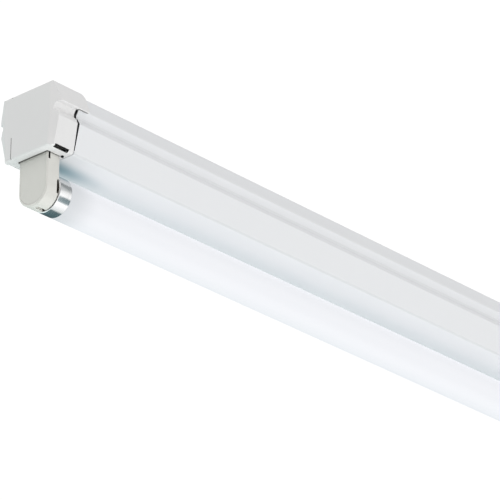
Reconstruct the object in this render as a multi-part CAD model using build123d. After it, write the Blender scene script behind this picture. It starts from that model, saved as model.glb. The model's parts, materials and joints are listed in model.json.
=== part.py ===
from build123d import *
import os
from math import hypot, radians, sin, tan

# Fluorescent batten light: one straight T8 lamp under a folded steel body with moulded ends.
# Millimetres. X runs along the lamp, Y across it, Z up. The origin is on the ceiling plane, midway
# between the two fixing slots, so the whole light hangs below it.

# Lamp: glass tube with a two-pin G13 cap on each end
LAMP_LENGTH = 589.8  # from cap face to cap face, the 18 W size
LAMP_DIAMETER = 26.0
GLASS_WALL = 0.9
LAMP_CAP_LENGTH = 10.5
LAMP_CAP_WALL = 0.5
LAMP_CAP_RIM = 1.0  # width of the turned-in rim round the insulating disc
LAMP_CAP_EDGE = 0.7
CEMENT_GAP = 0.2
DISC_THICKNESS = 1.6
PIN_SPACING = 12.7
PIN_DIAMETER = 2.4
PIN_LENGTH = 7.1
PIN_TIP = 0.6
PIN_HEAD_DIAMETER = 4.4
PIN_HEAD_THICKNESS = 0.6
SNUG_FIT = 0.05
STEM_DIAMETER = 9.0
STEM_LENGTH = 20.0
ELECTRODE_WIRE = 0.8
ELECTRODE_SPREAD = 10.0
ELECTRODE_REACH = 8.0
COIL_DIAMETER = 2.0

# Folded steel body: the upper spine is fixed to the ceiling and the lower cover snaps onto it
SHEET = 0.8
BEND = 0.6  # inside radius of the folds
SPINE_TOP_WIDTH = 41.2
RIDGE_WIDTH = 50.2
RIDGE_DROP = 12.0
GROOVE_WIDTH = 45.0
RIDGE_RETURN = 4.0  # height of the slope from the ridge in to the groove
GROOVE_HEIGHT = 2.8  # visible height of the groove above the cover
WALL_OVERLAP = 1.4  # how far the spine's wall reaches down behind the cover's edge
COVER_WIDTH = 51.4
COVER_BASE_WIDTH = 42.4
SHOULDER_DROP = 4.0
COVER_SIDE_DROP = 19.9
COVER_BASE_BEND = 1.4
COVER_FIT = 0.3
LAMP_TO_COVER = 8.0  # clear height between the cover and the glass

# Ceiling fixings and cable entries in the top of the spine
FIXING_INSET = 103.0  # from each end of the light to a fixing slot
FIXING_SLOT_LENGTH = 12.0
FIXING_SLOT_WIDTH = 5.5
PAD_LENGTH = 28.0
PAD_WIDTH = 18.0
PAD_CORNER = 4.0
PAD_DRAFT = 30.0
ENTRY_DIAMETER = 20.0
CABLE_BORE = 9.0
GROMMET_FLANGE = 2.4
GROMMET_LIP = 1.3
GROMMET_DEPTH = 3.2
GROMMET_FIT = 0.05
PLUG_SKIN = 1.2
PLUG_CATCH = 0.6
PLUG_CATCH_HEIGHT = 1.6
BLANK_ENTRY_INSET = 52.0  # from the end of the light to the plugged entry

# Moulded end caps
CAP_WALL = 1.7
CAP_END_WALL = 2.0
CAP_FIT = 0.2
CAP_EDGE = 1.6
LEDGE = 1.2  # thickness of the ledge that passes under the spine's cut flange
WING_LENGTH = 28.5
WING_CORNER = 4.5
SKIRT_LENGTH = 18.9  # at the top; its end leans towards the cover
SKIRT_BASE_LENGTH = 20.7
JOINT_GAP = 0.5  # between the skirt's foot and the cover's end
END_FLAT_WIDTH = 40.4
END_BASE_WIDTH = 38.0
CORNER_DEPTH = 3.8
CORNER_BASE_DEPTH = 4.8
CORNER_BASE_MARGIN = 1.0  # how far the corner's plan stands outside the cap at its base
CORNER_RADIUS = 2.5
CORNER_SHARE = 0.3  # how much the hollow's flat end narrows for each millimetre of end wall
END_GROOVE_OFFSET = 13.6
END_GROOVE_WIDTH = 0.5
END_GROOVE_DEPTH = 0.6
END_GROOVE_RISE = 1.3  # from the underside of the cap up to the groove
END_GROOVE_HEIGHT = 14.0
SIDE_SLOT_INSET = 4.6
SIDE_SLOT_LENGTH = 12.0
SIDE_SLOT_HEIGHT = 1.6
SIDE_SLOT_DEPTH = 1.9
SIDE_SLOT_SKIN = 0.6  # floor left under the trough behind a side slot
CUTOUT_FRONT_GAP = 1.2
CUTOUT_SIDE_GAP = 0.8
HOOK_INSET = 13.0
HOOK_LENGTH = 3.0
HOOK_WIDTH = 8.0
STOP_RIB = 1.4
STOP_RIB_REACH = 7.0
STOP_RIB_HEIGHT = 9.0

# Rotary lampholders
HOLDER_SETBACK = 6.8  # from the end cap's face to the holder's face
HOLDER_DEPTH = 10.4
HOLDER_WIDTH = 25.1
HOLDER_ROUND = 11.6
HOLDER_EDGE = 0.7
HOLDER_RIM = 1.6  # border round the back plate
LAMP_GAP = 0.9  # from the holder's inner face to the lamp cap
HEAD_LIP = 2.6
HEAD_INNER_LIP = 2.0
HEAD_HEIGHT = 6.6
HEAD_ROOF = 1.6
BACK_THICKNESS = 1.2
BACK_FIT = 0.1
BACK_TOP_GAP = 1.2
HOLDER_SCREW_INSET = 0.7  # from the holder's inner face to a screw
HOLDER_SCREW_OUTSET = 1.75  # from the holder's side to a screw
HOLDER_SCREW = 1.2
HOLDER_SCREW_REACH = 3.0  # into the holder's head
SCREW_HEAD_DIAMETER = 2.0
SCREW_HEAD_HEIGHT = 1.0
SCREW_HEAD_ROUND = 0.5
NOTCH_DEPTH = 1.7
NOTCH_REACH = 1.65
NOTCH_HEIGHT = 9.6
NOTCH_RISE = 0.3  # from the lamp's axis up to the middle of a notch
KEY_SLOT_INSET = 0.9
KEY_SLOT_WIDTH = 1.6
KEY_SLOT_DEPTH = 2.3
KEY_SLOT_LENGTH = 4.4
ROTOR_DIAMETER = 20.0
ROTOR_FRONT_DIAMETER = 18.2
ROTOR_THICKNESS = 3.9
ROTOR_FRONT = 0.95
ROTOR_FIT = 0.12
PIN_SLOT = 3.0
CONTACT_SHEET = 0.5
CONTACT_WIDTH = 3.4
CONTACT_GAP = 0.3
CONTACT_BULGE = 0.9
CONTACT_HALF = 4.0  # half height of the bulge that presses on a pin
CONTACT_FIT = 0.15

# Wiring
WIRE_DIAMETER = 2.0
WIRE_HOLE_FIT = 0.3
WIRE_INSERT = 4.0
LEAD_OFFSET = 10.2  # of the lamp leads from the middle of the light
LEAD_BEND = 14.0
POLE_PITCH = 5.2
MAINS_DIP = 4.0
MAINS_STRAIGHT = 12.0
MAINS_BEND = 10.0
EARTH_BEND = 4.0
CLIP_LENGTH = 6.0
CLIP_WALL = 1.2
CLIP_MOUTH = 1.5
CLIP_INSET = 75.0  # from the end of the light to the outer wire clip
CLIP_TO_BALLAST = 26.0
CLIP_TO_ENTRY = 30.0

# Ballast
BALLAST_CENTRE = -30.0
BALLAST_LENGTH = 190.0
BALLAST_WIDTH = 30.0
BALLAST_HEIGHT = 24.0
BALLAST_SHEET = 0.8
BALLAST_EAR = 11.0
BALLAST_CORNER = 1.2
TERMINAL_LENGTH = 16.0
TERMINAL_HEIGHT = 14.0
TERMINAL_INSET = 1.0
TERMINAL_KEY = 2.2
TERMINAL_KEY_DEPTH = 1.2
BOARD_THICKNESS = 1.6
BOARD_GAP = 4.0
BOARD_MARGIN = 1.0
POST_DIAMETER = 5.0
POST_INSET = 8.0
CAPACITOR_DIAMETER = 12.0
CAPACITOR_LENGTH = 24.0
COIL_FORMER_LENGTH = 22.0
COIL_FORMER_WIDTH = 18.0
COIL_FORMER_HEIGHT = 13.0
CHOKE_DIAMETER = 16.0
CHOKE_HOLE = 7.0
CHOKE_HEIGHT = 8.0
COMPONENT_PITCH = 36.0

# Studs, nuts, earth tag and supply terminal block
STUD_DIAMETER = 4.0
STUD_LENGTH = 7.0
STUD_HOLE_FIT = 0.2
NUT_ACROSS_FLATS = 7.0
NUT_HEIGHT = 3.2
WASHER_DIAMETER = 8.0
WASHER_THICKNESS = 0.8
WASHER_TEETH = 8
EARTH_OFFSET = 10.0  # from the ballast's ear to the earth stud
TAG_DIAMETER = 8.0
TAG_THICKNESS = 0.8
TAG_NECK = 3.0
TAG_BARREL_LENGTH = 6.0
TAG_BARREL_WALL = 0.6
BLOCK_OFFSET = 24.0  # from the earth stud to the terminal block's near face
BLOCK_LENGTH = 22.0
BLOCK_SIDE = 0.6
BLOCK_HEIGHT = 15.0
BLOCK_EDGE = 0.8
FOOT_NECK = 4.0
FOOT_HEAD = 5.6
FOOT_HEAD_HEIGHT = 1.0
FOOT_FIT = 0.15
INSERT_SIZE = 3.8
INSERT_LENGTH = 17.0
INSERT_FIT = 0.1
TERMINAL_SCREW = 2.6
TERMINAL_SCREW_LENGTH = 4.6
TERMINAL_SCREW_SLOT = 0.7
TERMINAL_SCREW_PITCH = 9.0
ENTRY_OFFSET = 20.0  # from the terminal block's far face to the cable entry

# Spring clips that hold the cover
COVER_CLIP_SPACING = 340.0
COVER_CLIP_WIDTH = 14.0
COVER_CLIP_SHEET = 0.5
COVER_CLIP_FIT = 0.3
COVER_CLIP_TAIL = 5.0

# Levels and places that follow from the sizes above
REACH = 1000.0
TINY = 1e-6
Z_SPINE = -(CAP_WALL + CAP_FIT)
Z_INSIDE = Z_SPINE - SHEET
Z_RIDGE = Z_SPINE - RIDGE_DROP
Z_GROOVE = Z_RIDGE - RIDGE_RETURN
Z_COVER = Z_GROOVE - GROOVE_HEIGHT
Z_WALL = Z_COVER - WALL_OVERLAP
Z_SHOULDER = Z_COVER - SHOULDER_DROP
Z_BASE = Z_SHOULDER - COVER_SIDE_DROP
Z_LAMP = Z_BASE - LAMP_TO_COVER - LAMP_DIAMETER / 2
Z_LEDGE = Z_RIDGE - CAP_FIT
Z_WING = Z_LEDGE - LEDGE
Z_FLOOR = Z_BASE + CAP_WALL
Z_HEAD = Z_FLOOR + HEAD_HEIGHT
Z_LEAD = Z_INSIDE - BALLAST_SHEET - TERMINAL_HEIGHT / 2
Z_LEAD_END = Z_HEAD - HEAD_ROOF - WIRE_INSERT
COVER_EDGE = GROOVE_WIDTH / 2 + COVER_FIT + SHEET  # half width at the cover's upper edges
HOLDER_INNER = HOLDER_SETBACK + HOLDER_DEPTH
HALF_LENGTH = LAMP_LENGTH / 2 + LAMP_GAP + HOLDER_INNER
SPINE_HALF = HALF_LENGTH - CAP_END_WALL - CORNER_DEPTH - CAP_FIT
COVER_HALF = HALF_LENGTH - SKIRT_BASE_LENGTH - JOINT_GAP
CONTACT_INSET = HOLDER_SETBACK + BACK_THICKNESS + CONTACT_FIT
CONTACT_MIDDLE = CONTACT_INSET + CONTACT_WIDTH / 2
CONTACT_Y = PIN_SPACING / 2 + PIN_DIAMETER / 2 + CONTACT_GAP
BALLAST_END = BALLAST_LENGTH / 2
BLOCK_HALF_WIDTH = 1.5 * POLE_PITCH + BLOCK_SIDE
EARTH_X = BALLAST_CENTRE + BALLAST_END + BALLAST_EAR + EARTH_OFFSET
BLOCK_START = EARTH_X + BLOCK_OFFSET
BLOCK_X = BLOCK_START + BLOCK_LENGTH / 2
ENTRY_X = BLOCK_START + BLOCK_LENGTH + ENTRY_OFFSET
BLANK_X = BLANK_ENTRY_INSET - HALF_LENGTH
POLES = [-POLE_PITCH, 0.0, POLE_PITCH]
BALLAST_STUDS = [BALLAST_CENTRE + side * (BALLAST_END + BALLAST_EAR / 2) for side in (-1, 1)]


def corner_span(before, here, after):
    """Start, middle and end of the arc that rounds a corner; all three at the corner where it is sharp."""
    corner = Vector(here[0], here[1])
    radius = here[2]
    if radius == 0:
        return corner, corner, corner
    to_before = (Vector(before[0], before[1]) - corner).normalized()
    to_after = (Vector(after[0], after[1]) - corner).normalized()
    half_angle = radians(to_before.get_angle(to_after)) / 2
    reach = radius / tan(half_angle)
    inward = (to_before + to_after).normalized()
    middle = corner + inward * (radius / sin(half_angle) - radius)
    return corner + to_before * reach, middle, corner + to_after * reach


def outline(corners):
    """Closed flat shape through (a, b, radius) corners."""
    turns = zip(corners[-1:] + corners[:-1], corners, corners[1:] + corners[:1])
    spans = [corner_span(*turn) for turn in turns]
    edges = []
    for (start, middle, end), following in zip(spans, spans[1:] + spans[:1]):
        if (end - start).length > TINY:
            edges.append(ThreePointArc(start, middle, end))
        if (following[0] - end).length > TINY:
            edges.append(Line(end, following[0]))
    return make_face(edges)


def mirrored(half):
    """The (y, z, radius) corners of the other half, in running order."""
    return [(-y, z, radius) for y, z, radius in half[::-1]]


def bent_sheet(points, thickness):
    """Section of a folded strip: one face follows (y, z, bend) points, with the metal on their right."""
    places = [Vector(y, z) for y, z, _ in points]
    runs = [(end - start).normalized() for start, end in zip(places, places[1:])]
    normals = [Vector(run.Y, -run.X) for run in runs]
    outer = []
    inner = []
    for index, (y, z, bend) in enumerate(points):
        first = normals[max(index - 1, 0)]
        second = normals[min(index, len(normals) - 1)]
        hidden = places[index] + (first + second) * (thickness / (1 + first.dot(second)))
        outer_radius = 0
        inner_radius = 0
        if 0 < index < len(points) - 1:
            folds_in = runs[index - 1].cross(runs[index]).Z < 0
            outer_radius = bend + thickness if folds_in else bend
            inner_radius = bend if folds_in else bend + thickness
        outer.append((y, z, outer_radius))
        inner.append((hidden.X, hidden.Y, inner_radius))
    return outline(outer + inner[::-1])


def along_x(face, start, end):
    """Solid with the (y, z) face as its section between two places on X."""
    return extrude(Plane.YZ.offset(start) * face, amount=end - start)


def down_from(face, top, bottom):
    """Solid with the (x, y) face as its plan between two levels."""
    return extrude(Plane.XY.offset(bottom) * face, amount=top - bottom)


def block(x_range, y_range, z_range):
    """Rectangular solid between pairs of places on the three axes."""
    sizes = [high - low for low, high in (x_range, y_range, z_range)]
    middle = [(low + high) / 2 for low, high in (x_range, y_range, z_range)]
    return Pos(*middle) * Box(*sizes)


def rod_x(radius, start, end, y, z):
    """Round rod along X."""
    return extrude(Plane.YZ.offset(start) * Pos(y, z) * Circle(radius), amount=end - start)


def rod_z(radius, x, y, bottom, top):
    """Round rod along Z."""
    return extrude(Plane.XY.offset(bottom) * Pos(x, y) * Circle(radius), amount=top - bottom)


def turned_x(corners, y, z):
    """Solid of revolution about a line along X, from (x, distance, radius) corners."""
    return Pos(0, y, z) * revolve(Plane.XZ * outline(corners), axis=Axis.X)


def turned_z(corners, x):
    """Solid of revolution about a vertical line on the middle plane, from (distance, z, radius) corners."""
    return Pos(x, 0, 0) * revolve(Plane.XZ * outline(corners), axis=Axis.Z)


def wire(points, radius):
    """Round insulated wire along straight runs joined by arcs."""
    path = FilletPolyline(*points, radius=radius)
    return sweep(Plane(origin=path @ 0, z_dir=path % 0) * Circle(WIRE_DIAMETER / 2), path=path)


def group(solids):
    """Separate solids kept together as one node."""
    return Compound(children=list(solids))


def other_end(shape):
    """The same piece at the far end of the light."""
    return mirror(shape, about=Plane.YZ)


def inset_x(inset):
    """Place on X at a distance in from the near end of the light."""
    return inset - HALF_LENGTH


def flange_y(z, stand_off):
    """Half width at a level of the spine's sloping flange, or of a face that stands off it."""
    slope = (RIDGE_WIDTH - SPINE_TOP_WIDTH) / 2 / RIDGE_DROP
    return SPINE_TOP_WIDTH / 2 + slope * (Z_SPINE - z) + stand_off * hypot(1, slope)


def ridge_y(z):
    """Half width of the slope from the ridge in to the groove."""
    return RIDGE_WIDTH / 2 - (RIDGE_WIDTH - GROOVE_WIDTH) / 2 * (Z_RIDGE - z) / RIDGE_RETURN


def cover_y(z):
    """Half width of the cover's side at a level."""
    return COVER_WIDTH / 2 - (COVER_WIDTH - COVER_BASE_WIDTH) / 2 * (Z_SHOULDER - z) / COVER_SIDE_DROP


def spine():
    """Upper steel channel with raised fixing pads, slots, cable entries and cut-back ends."""
    half = [
        (SPINE_TOP_WIDTH / 2, Z_SPINE, BEND),
        (RIDGE_WIDTH / 2, Z_RIDGE, BEND),
        (GROOVE_WIDTH / 2, Z_GROOVE, BEND),
        (GROOVE_WIDTH / 2, Z_WALL, BEND),
    ]
    body = along_x(bent_sheet(mirrored(half) + half, SHEET), -SPINE_HALF, SPINE_HALF)
    below_ridge = (Z_WALL - SHEET, Z_RIDGE)
    for side in (-1, 1):
        ends = sorted((side * COVER_HALF, side * REACH))
        body -= block(ends, (-RIDGE_WIDTH, RIDGE_WIDTH), below_ridge)
        body = raise_pad(body, side * (HALF_LENGTH - FIXING_INSET))
        body -= hook_slot(side)
    for x in (ENTRY_X, BLANK_X):
        body -= rod_z(ENTRY_DIAMETER / 2, x, 0, Z_INSIDE - SHEET, Z_SPINE + SHEET)
    foot_half = FOOT_NECK / 2 + FOOT_FIT
    foot_reach = (BLOCK_X - foot_half, BLOCK_X + foot_half)
    return body - block(foot_reach, (-foot_half, foot_half), (Z_INSIDE - SHEET, Z_SPINE + SHEET))


def raise_pad(body, x):
    """Press a slotted pad up out of the top sheet, so that it meets the ceiling."""
    step = 2 * SHEET
    pad = RectangleRounded(PAD_LENGTH, PAD_WIDTH, PAD_CORNER)
    pocket = RectangleRounded(PAD_LENGTH - step, PAD_WIDTH - step, PAD_CORNER - SHEET)
    slot = SlotOverall(FIXING_SLOT_LENGTH, FIXING_SLOT_WIDTH)
    raised = extrude(Plane((x, 0, Z_SPINE)) * pad, amount=-Z_SPINE, taper=PAD_DRAFT)
    hollow = extrude(Plane((x, 0, Z_INSIDE)) * pocket, amount=-Z_SPINE, taper=PAD_DRAFT)
    opening = extrude(Plane((x, 0, Z_INSIDE)) * slot, amount=-Z_INSIDE + SHEET)
    return body + raised - hollow - opening


def hook_slot(side):
    """Cut in the spine's top for an end cap's hook."""
    outer = HALF_LENGTH - HOOK_INSET + CAP_FIT
    inner = HALF_LENGTH - HOOK_INSET - HOOK_LENGTH - CAP_FIT
    half = HOOK_WIDTH / 2 + CAP_FIT
    reach = sorted((side * outer, side * inner))
    return block(reach, (-half, half), (Z_INSIDE - SHEET, Z_SPINE + SHEET))


def cover():
    """Lower steel channel that snaps over the spine's walls."""
    half = [
        (COVER_EDGE, Z_COVER, 0),
        (COVER_WIDTH / 2, Z_SHOULDER, BEND),
        (COVER_BASE_WIDTH / 2, Z_BASE, COVER_BASE_BEND),
    ]
    return along_x(bent_sheet(half + mirrored(half), SHEET), -COVER_HALF, COVER_HALF)


def cover_clips():
    """Spring steel clips welded inside the spine's walls, bulging out under the cover's shoulders."""
    inner = GROOVE_WIDTH / 2 - SHEET
    thickness = COVER_CLIP_SHEET
    nose_z = Z_SHOULDER - SHEET
    nose_y = cover_y(nose_z) - SHEET - COVER_CLIP_FIT - thickness
    tail_z = nose_z - COVER_CLIP_TAIL
    strip = [
        (inner, Z_GROOVE - SHEET, 0),
        (inner, Z_WALL - COVER_CLIP_FIT, thickness),
        (nose_y, nose_z, thickness),
        (inner - thickness, tail_z, 0),
    ]
    section = bent_sheet(strip, thickness)
    clips = []
    for centre in (-COVER_CLIP_SPACING / 2, COVER_CLIP_SPACING / 2):
        clip = along_x(section, centre - COVER_CLIP_WIDTH / 2, centre + COVER_CLIP_WIDTH / 2)
        clips += [clip, mirror(clip, about=Plane.XZ)]
    return group(clips)


def cap_section_outer():
    """Outside of an end cap seen along the light: the wings over the spine, then flush with the cover."""
    half = [
        (flange_y(0, CAP_WALL + CAP_FIT), 0, CAP_EDGE),
        (flange_y(Z_WING, CAP_WALL + CAP_FIT), Z_WING, LEDGE / 2),
        (ridge_y(Z_WING), Z_WING, 0),
        (GROOVE_WIDTH / 2, Z_GROOVE, 0),
        (GROOVE_WIDTH / 2, Z_COVER, 0),
        (COVER_EDGE, Z_COVER, 0),
        (COVER_WIDTH / 2, Z_SHOULDER, BEND + SHEET),
        (COVER_BASE_WIDTH / 2, Z_BASE, COVER_BASE_BEND + SHEET),
    ]
    return outline(half + mirrored(half))


def cap_section_inner():
    """Hollow of an end cap above its floor: clear of the spine, then one wall inside the cover line."""
    half = [
        (flange_y(-CAP_WALL, CAP_FIT), -CAP_WALL, 0),
        (flange_y(Z_LEDGE, CAP_FIT), Z_LEDGE, 0),
        (ridge_y(Z_LEDGE) - CAP_WALL, Z_LEDGE, 0),
        (GROOVE_WIDTH / 2 - CAP_WALL, Z_GROOVE, 0),
        (GROOVE_WIDTH / 2 - CAP_WALL, Z_COVER - CAP_WALL, 0),
        (cover_y(Z_SHOULDER - CAP_WALL) - CAP_WALL, Z_SHOULDER - CAP_WALL, 0),
        (cover_y(Z_FLOOR) - CAP_WALL, Z_FLOOR, 0),
    ]
    return outline(half + mirrored(half))


def cap_plan(setback, flat_width, depth, side):
    """Plan of an end cap with its slanting corners, or of its hollow when set back by the end wall."""
    near = inset_x(setback)
    half = [
        (near, flat_width / 2 - CORNER_SHARE * setback, CORNER_RADIUS),
        (near + depth, side, CORNER_RADIUS),
        (inset_x(2 * WING_LENGTH), side, 0),
    ]
    return outline(half + [(x, -y, radius) for x, y, radius in half[::-1]])


def cap_corners(setback):
    """Block with upright slanting corners that lean in with the sides below the shoulder."""
    widest = flange_y(Z_WING, CAP_WALL + CAP_FIT)
    upper = cap_plan(setback, END_FLAT_WIDTH, CORNER_DEPTH, widest)
    base_side = COVER_BASE_WIDTH / 2 + CORNER_BASE_MARGIN
    lower = cap_plan(setback, END_BASE_WIDTH, CORNER_BASE_DEPTH, base_side)
    leaning = loft([Pos(0, 0, Z_SHOULDER) * upper, Pos(0, 0, Z_BASE) * lower], ruled=True)
    return down_from(upper, CAP_WALL, Z_SHOULDER) + leaning


def cap_side_view():
    """Outline of an end cap from the side: round edges, wing and skirt."""
    corners = [
        (inset_x(0), 0, CAP_EDGE),
        (inset_x(WING_LENGTH), 0, WING_CORNER),
        (inset_x(WING_LENGTH), Z_WING, LEDGE),
        (inset_x(SKIRT_LENGTH), Z_WING, 0),
        (inset_x(SKIRT_BASE_LENGTH), Z_BASE, 0),
        (inset_x(0), Z_BASE, CAP_EDGE),
    ]
    return outline(corners)


def screw_place(side):
    """X and Y of the screw that holds the near lampholder to the cap's floor on one side."""
    return inset_x(HOLDER_INNER + HOLDER_SCREW_INSET), side * (HOLDER_WIDTH / 2 + HOLDER_SCREW_OUTSET)


def screw_hole(side, bottom, top):
    """Hole that a holder screw passes through."""
    return rod_z(HOLDER_SCREW / 2 + SNUG_FIT, *screw_place(side), bottom, top)


def end_cap():
    """Near end cap: three views meet in its outside, and its hollow leaves an even wall."""
    start = inset_x(0)
    inner_end = inset_x(2 * WING_LENGTH)
    width = RIDGE_WIDTH
    shell = along_x(cap_section_outer(), start, inner_end)
    shell &= cap_corners(0)
    shell &= extrude(Plane.XZ * cap_side_view(), amount=width, both=True)
    shell -= along_x(cap_section_inner(), start, inner_end) & cap_corners(CAP_END_WALL)
    wing = [(flange_y(z, CAP_FIT), z, 0) for z in (-CAP_WALL, Z_WING - CAP_WALL)]
    shell -= along_x(outline(wing + mirrored(wing)), inset_x(SKIRT_LENGTH), inner_end)
    through_floor = (Z_BASE - SHEET, Z_FLOOR + SHEET)
    holder_half = HOLDER_WIDTH / 2 + CUTOUT_SIDE_GAP
    holder_reach = (inset_x(HOLDER_SETBACK - CUTOUT_FRONT_GAP), inset_x(HOLDER_INNER + CAP_FIT))
    shell -= block(holder_reach, (-holder_half, holder_half), through_floor)
    slot_reach = (inset_x(SIDE_SLOT_INSET), inset_x(SIDE_SLOT_INSET + SIDE_SLOT_LENGTH))
    slot_y = COVER_BASE_WIDTH / 2 - SIDE_SLOT_DEPTH
    trough_y = HOLDER_WIDTH / 2 + HEAD_LIP + 2 * CAP_FIT
    inner_wall = cover_y(Z_FLOOR) - CAP_WALL
    for side in (-1, 1):
        slot_out = sorted((side * slot_y, side * width))
        shell -= block(slot_reach, slot_out, (Z_BASE - SHEET, Z_BASE + SIDE_SLOT_HEIGHT))
        trough_out = sorted((side * trough_y, side * inner_wall))
        shell -= block(slot_reach, trough_out, (Z_BASE + SIDE_SLOT_SKIN, Z_FLOOR + SHEET))
        shell -= screw_hole(side, *through_floor)
    groove_y = (END_GROOVE_OFFSET - END_GROOVE_WIDTH / 2, END_GROOVE_OFFSET + END_GROOVE_WIDTH / 2)
    groove_low = Z_BASE + END_GROOVE_RISE
    groove_z = (groove_low, groove_low + END_GROOVE_HEIGHT)
    shell -= block((start, start + END_GROOVE_DEPTH), groove_y, groove_z)
    hook_reach = (inset_x(HOOK_INSET), inset_x(HOOK_INSET + HOOK_LENGTH))
    shell += block(hook_reach, (-HOOK_WIDTH / 2, HOOK_WIDTH / 2), (Z_INSIDE, -CAP_WALL))
    rib_reach = (inset_x(CAP_END_WALL), inset_x(CAP_END_WALL + STOP_RIB_REACH))
    rib_near = LEAD_OFFSET + WIRE_DIAMETER / 2 + CAP_WALL / 2
    for low, high in ((rib_near, rib_near + STOP_RIB), (-rib_near - STOP_RIB, -rib_near)):
        shell += block(rib_reach, (low, high), (Z_HEAD + CAP_FIT, Z_HEAD + CAP_FIT + STOP_RIB_HEIGHT))
    return shell


def holder_outline(border):
    """Round-ended front of a lampholder below its head, drawn in by a border."""
    half = HOLDER_WIDTH / 2 - border
    bottom = Z_LAMP - HOLDER_WIDTH / 2 + border
    radius = HOLDER_ROUND - border
    top = Z_FLOOR
    return outline([(half, top, 0), (half, bottom, radius), (-half, bottom, radius), (-half, top, 0)])


def holder_housing():
    """Near lampholder body: a head that rests on the cap's floor, and a round face that takes the rotor."""
    face = inset_x(HOLDER_SETBACK)
    inner = inset_x(HOLDER_INNER)
    body = along_x(holder_outline(0), face, inner)
    body = chamfer(body.faces().sort_by(Axis.X)[0].edges(), HOLDER_EDGE)
    head_half = HOLDER_WIDTH / 2 + HEAD_LIP
    head_reach = (face - HEAD_LIP, inner + HEAD_INNER_LIP)
    body += block(head_reach, (-head_half, head_half), (Z_FLOOR, Z_HEAD))
    back_recess = along_x(holder_outline(HOLDER_RIM), face, face + BACK_THICKNESS)
    back_top = Z_BASE - BACK_TOP_GAP
    body -= back_recess & block((face, inner), (-REACH, REACH), (-REACH, back_top))
    cavity_half = LEAD_OFFSET + CONTACT_SHEET / 2 + CONTACT_FIT
    cavity_start = face + BACK_THICKNESS
    cavity_end = inset_x(CONTACT_INSET + CONTACT_WIDTH + CONTACT_FIT)
    cavity_low = Z_LAMP - CONTACT_HALF - CONTACT_FIT
    body -= block((cavity_start, cavity_end), (-cavity_half, cavity_half), (cavity_low, Z_HEAD - HEAD_ROOF))
    rotor_seat = inner - ROTOR_FRONT - ROTOR_FIT
    body -= rod_x(ROTOR_DIAMETER / 2 + ROTOR_FIT, cavity_end, rotor_seat, 0, Z_LAMP)
    body -= rod_x(ROTOR_FRONT_DIAMETER / 2 + ROTOR_FIT, rotor_seat, inner, 0, Z_LAMP)
    slot_start = inset_x(HOLDER_INNER + LAMP_GAP - PIN_LENGTH - CONTACT_GAP)
    body -= rod_x(CONTACT_Y, slot_start, cavity_end, 0, Z_LAMP)
    body -= block((slot_start, inner), (-PIN_SLOT / 2, PIN_SLOT / 2), (Z_LAMP - HOLDER_WIDTH, Z_LAMP))
    hole = WIRE_DIAMETER / 2 + WIRE_HOLE_FIT
    key_start = face + KEY_SLOT_INSET
    key_reach = (key_start, key_start + KEY_SLOT_WIDTH)
    key_z = (Z_BASE - KEY_SLOT_LENGTH, Z_FLOOR)
    notch_middle = Z_LAMP + NOTCH_RISE
    notch_z = (notch_middle - NOTCH_HEIGHT / 2, notch_middle + NOTCH_HEIGHT / 2)
    for side in (-1, 1):
        body -= rod_z(hole, inset_x(CONTACT_MIDDLE), side * LEAD_OFFSET, Z_LEAD_END, Z_HEAD + HEAD_ROOF)
        key_y = sorted((side * (HOLDER_WIDTH / 2 - KEY_SLOT_DEPTH), side * HOLDER_WIDTH / 2))
        body -= block(key_reach, key_y, key_z)
        notch_y = sorted((side * (HOLDER_WIDTH / 2 - NOTCH_REACH), side * HOLDER_WIDTH / 2))
        body -= block((inner - NOTCH_DEPTH, inner), notch_y, notch_z)
        body -= screw_hole(side, Z_FLOOR, Z_FLOOR + HOLDER_SCREW_REACH + SNUG_FIT)
    return body


def holder_back():
    """Plate that closes the outer face of a lampholder."""
    face = inset_x(HOLDER_SETBACK)
    plate = along_x(holder_outline(HOLDER_RIM + BACK_FIT), face, face + BACK_THICKNESS)
    top = Z_BASE - BACK_TOP_GAP - BACK_FIT
    return plate & block((face, face + BACK_THICKNESS), (-REACH, REACH), (-REACH, top))


def holder_screws():
    """Two small screws from below the cap's floor into a lampholder's head."""
    low = Z_BASE - SCREW_HEAD_HEIGHT
    top = Z_FLOOR + HOLDER_SCREW_REACH
    corners = [
        (0, low, 0),
        (SCREW_HEAD_DIAMETER / 2, low, SCREW_HEAD_ROUND),
        (SCREW_HEAD_DIAMETER / 2, Z_BASE, 0),
        (HOLDER_SCREW / 2, Z_BASE, 0),
        (HOLDER_SCREW / 2, top, 0),
        (0, top, 0),
    ]
    screws = []
    for side in (-1, 1):
        x, y = screw_place(side)
        screws.append(Pos(0, y, 0) * turned_z(corners, x))
    return group(screws)


def holder_rotor():
    """Turning collar with a slot that takes both lamp pins and locks them level."""
    front = inset_x(HOLDER_INNER)
    shoulder = front - ROTOR_FRONT - 2 * ROTOR_FIT
    back = shoulder - ROTOR_THICKNESS
    body = rod_x(ROTOR_DIAMETER / 2, back, shoulder, 0, Z_LAMP)
    body += rod_x(ROTOR_FRONT_DIAMETER / 2, shoulder, front, 0, Z_LAMP)
    closed_end = PIN_SPACING / 2
    body -= rod_x(PIN_SLOT / 2, back, front, -closed_end, Z_LAMP)
    slot_z = (Z_LAMP - PIN_SLOT / 2, Z_LAMP + PIN_SLOT / 2)
    return body - block((back, front), (-closed_end, ROTOR_DIAMETER), slot_z)


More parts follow.
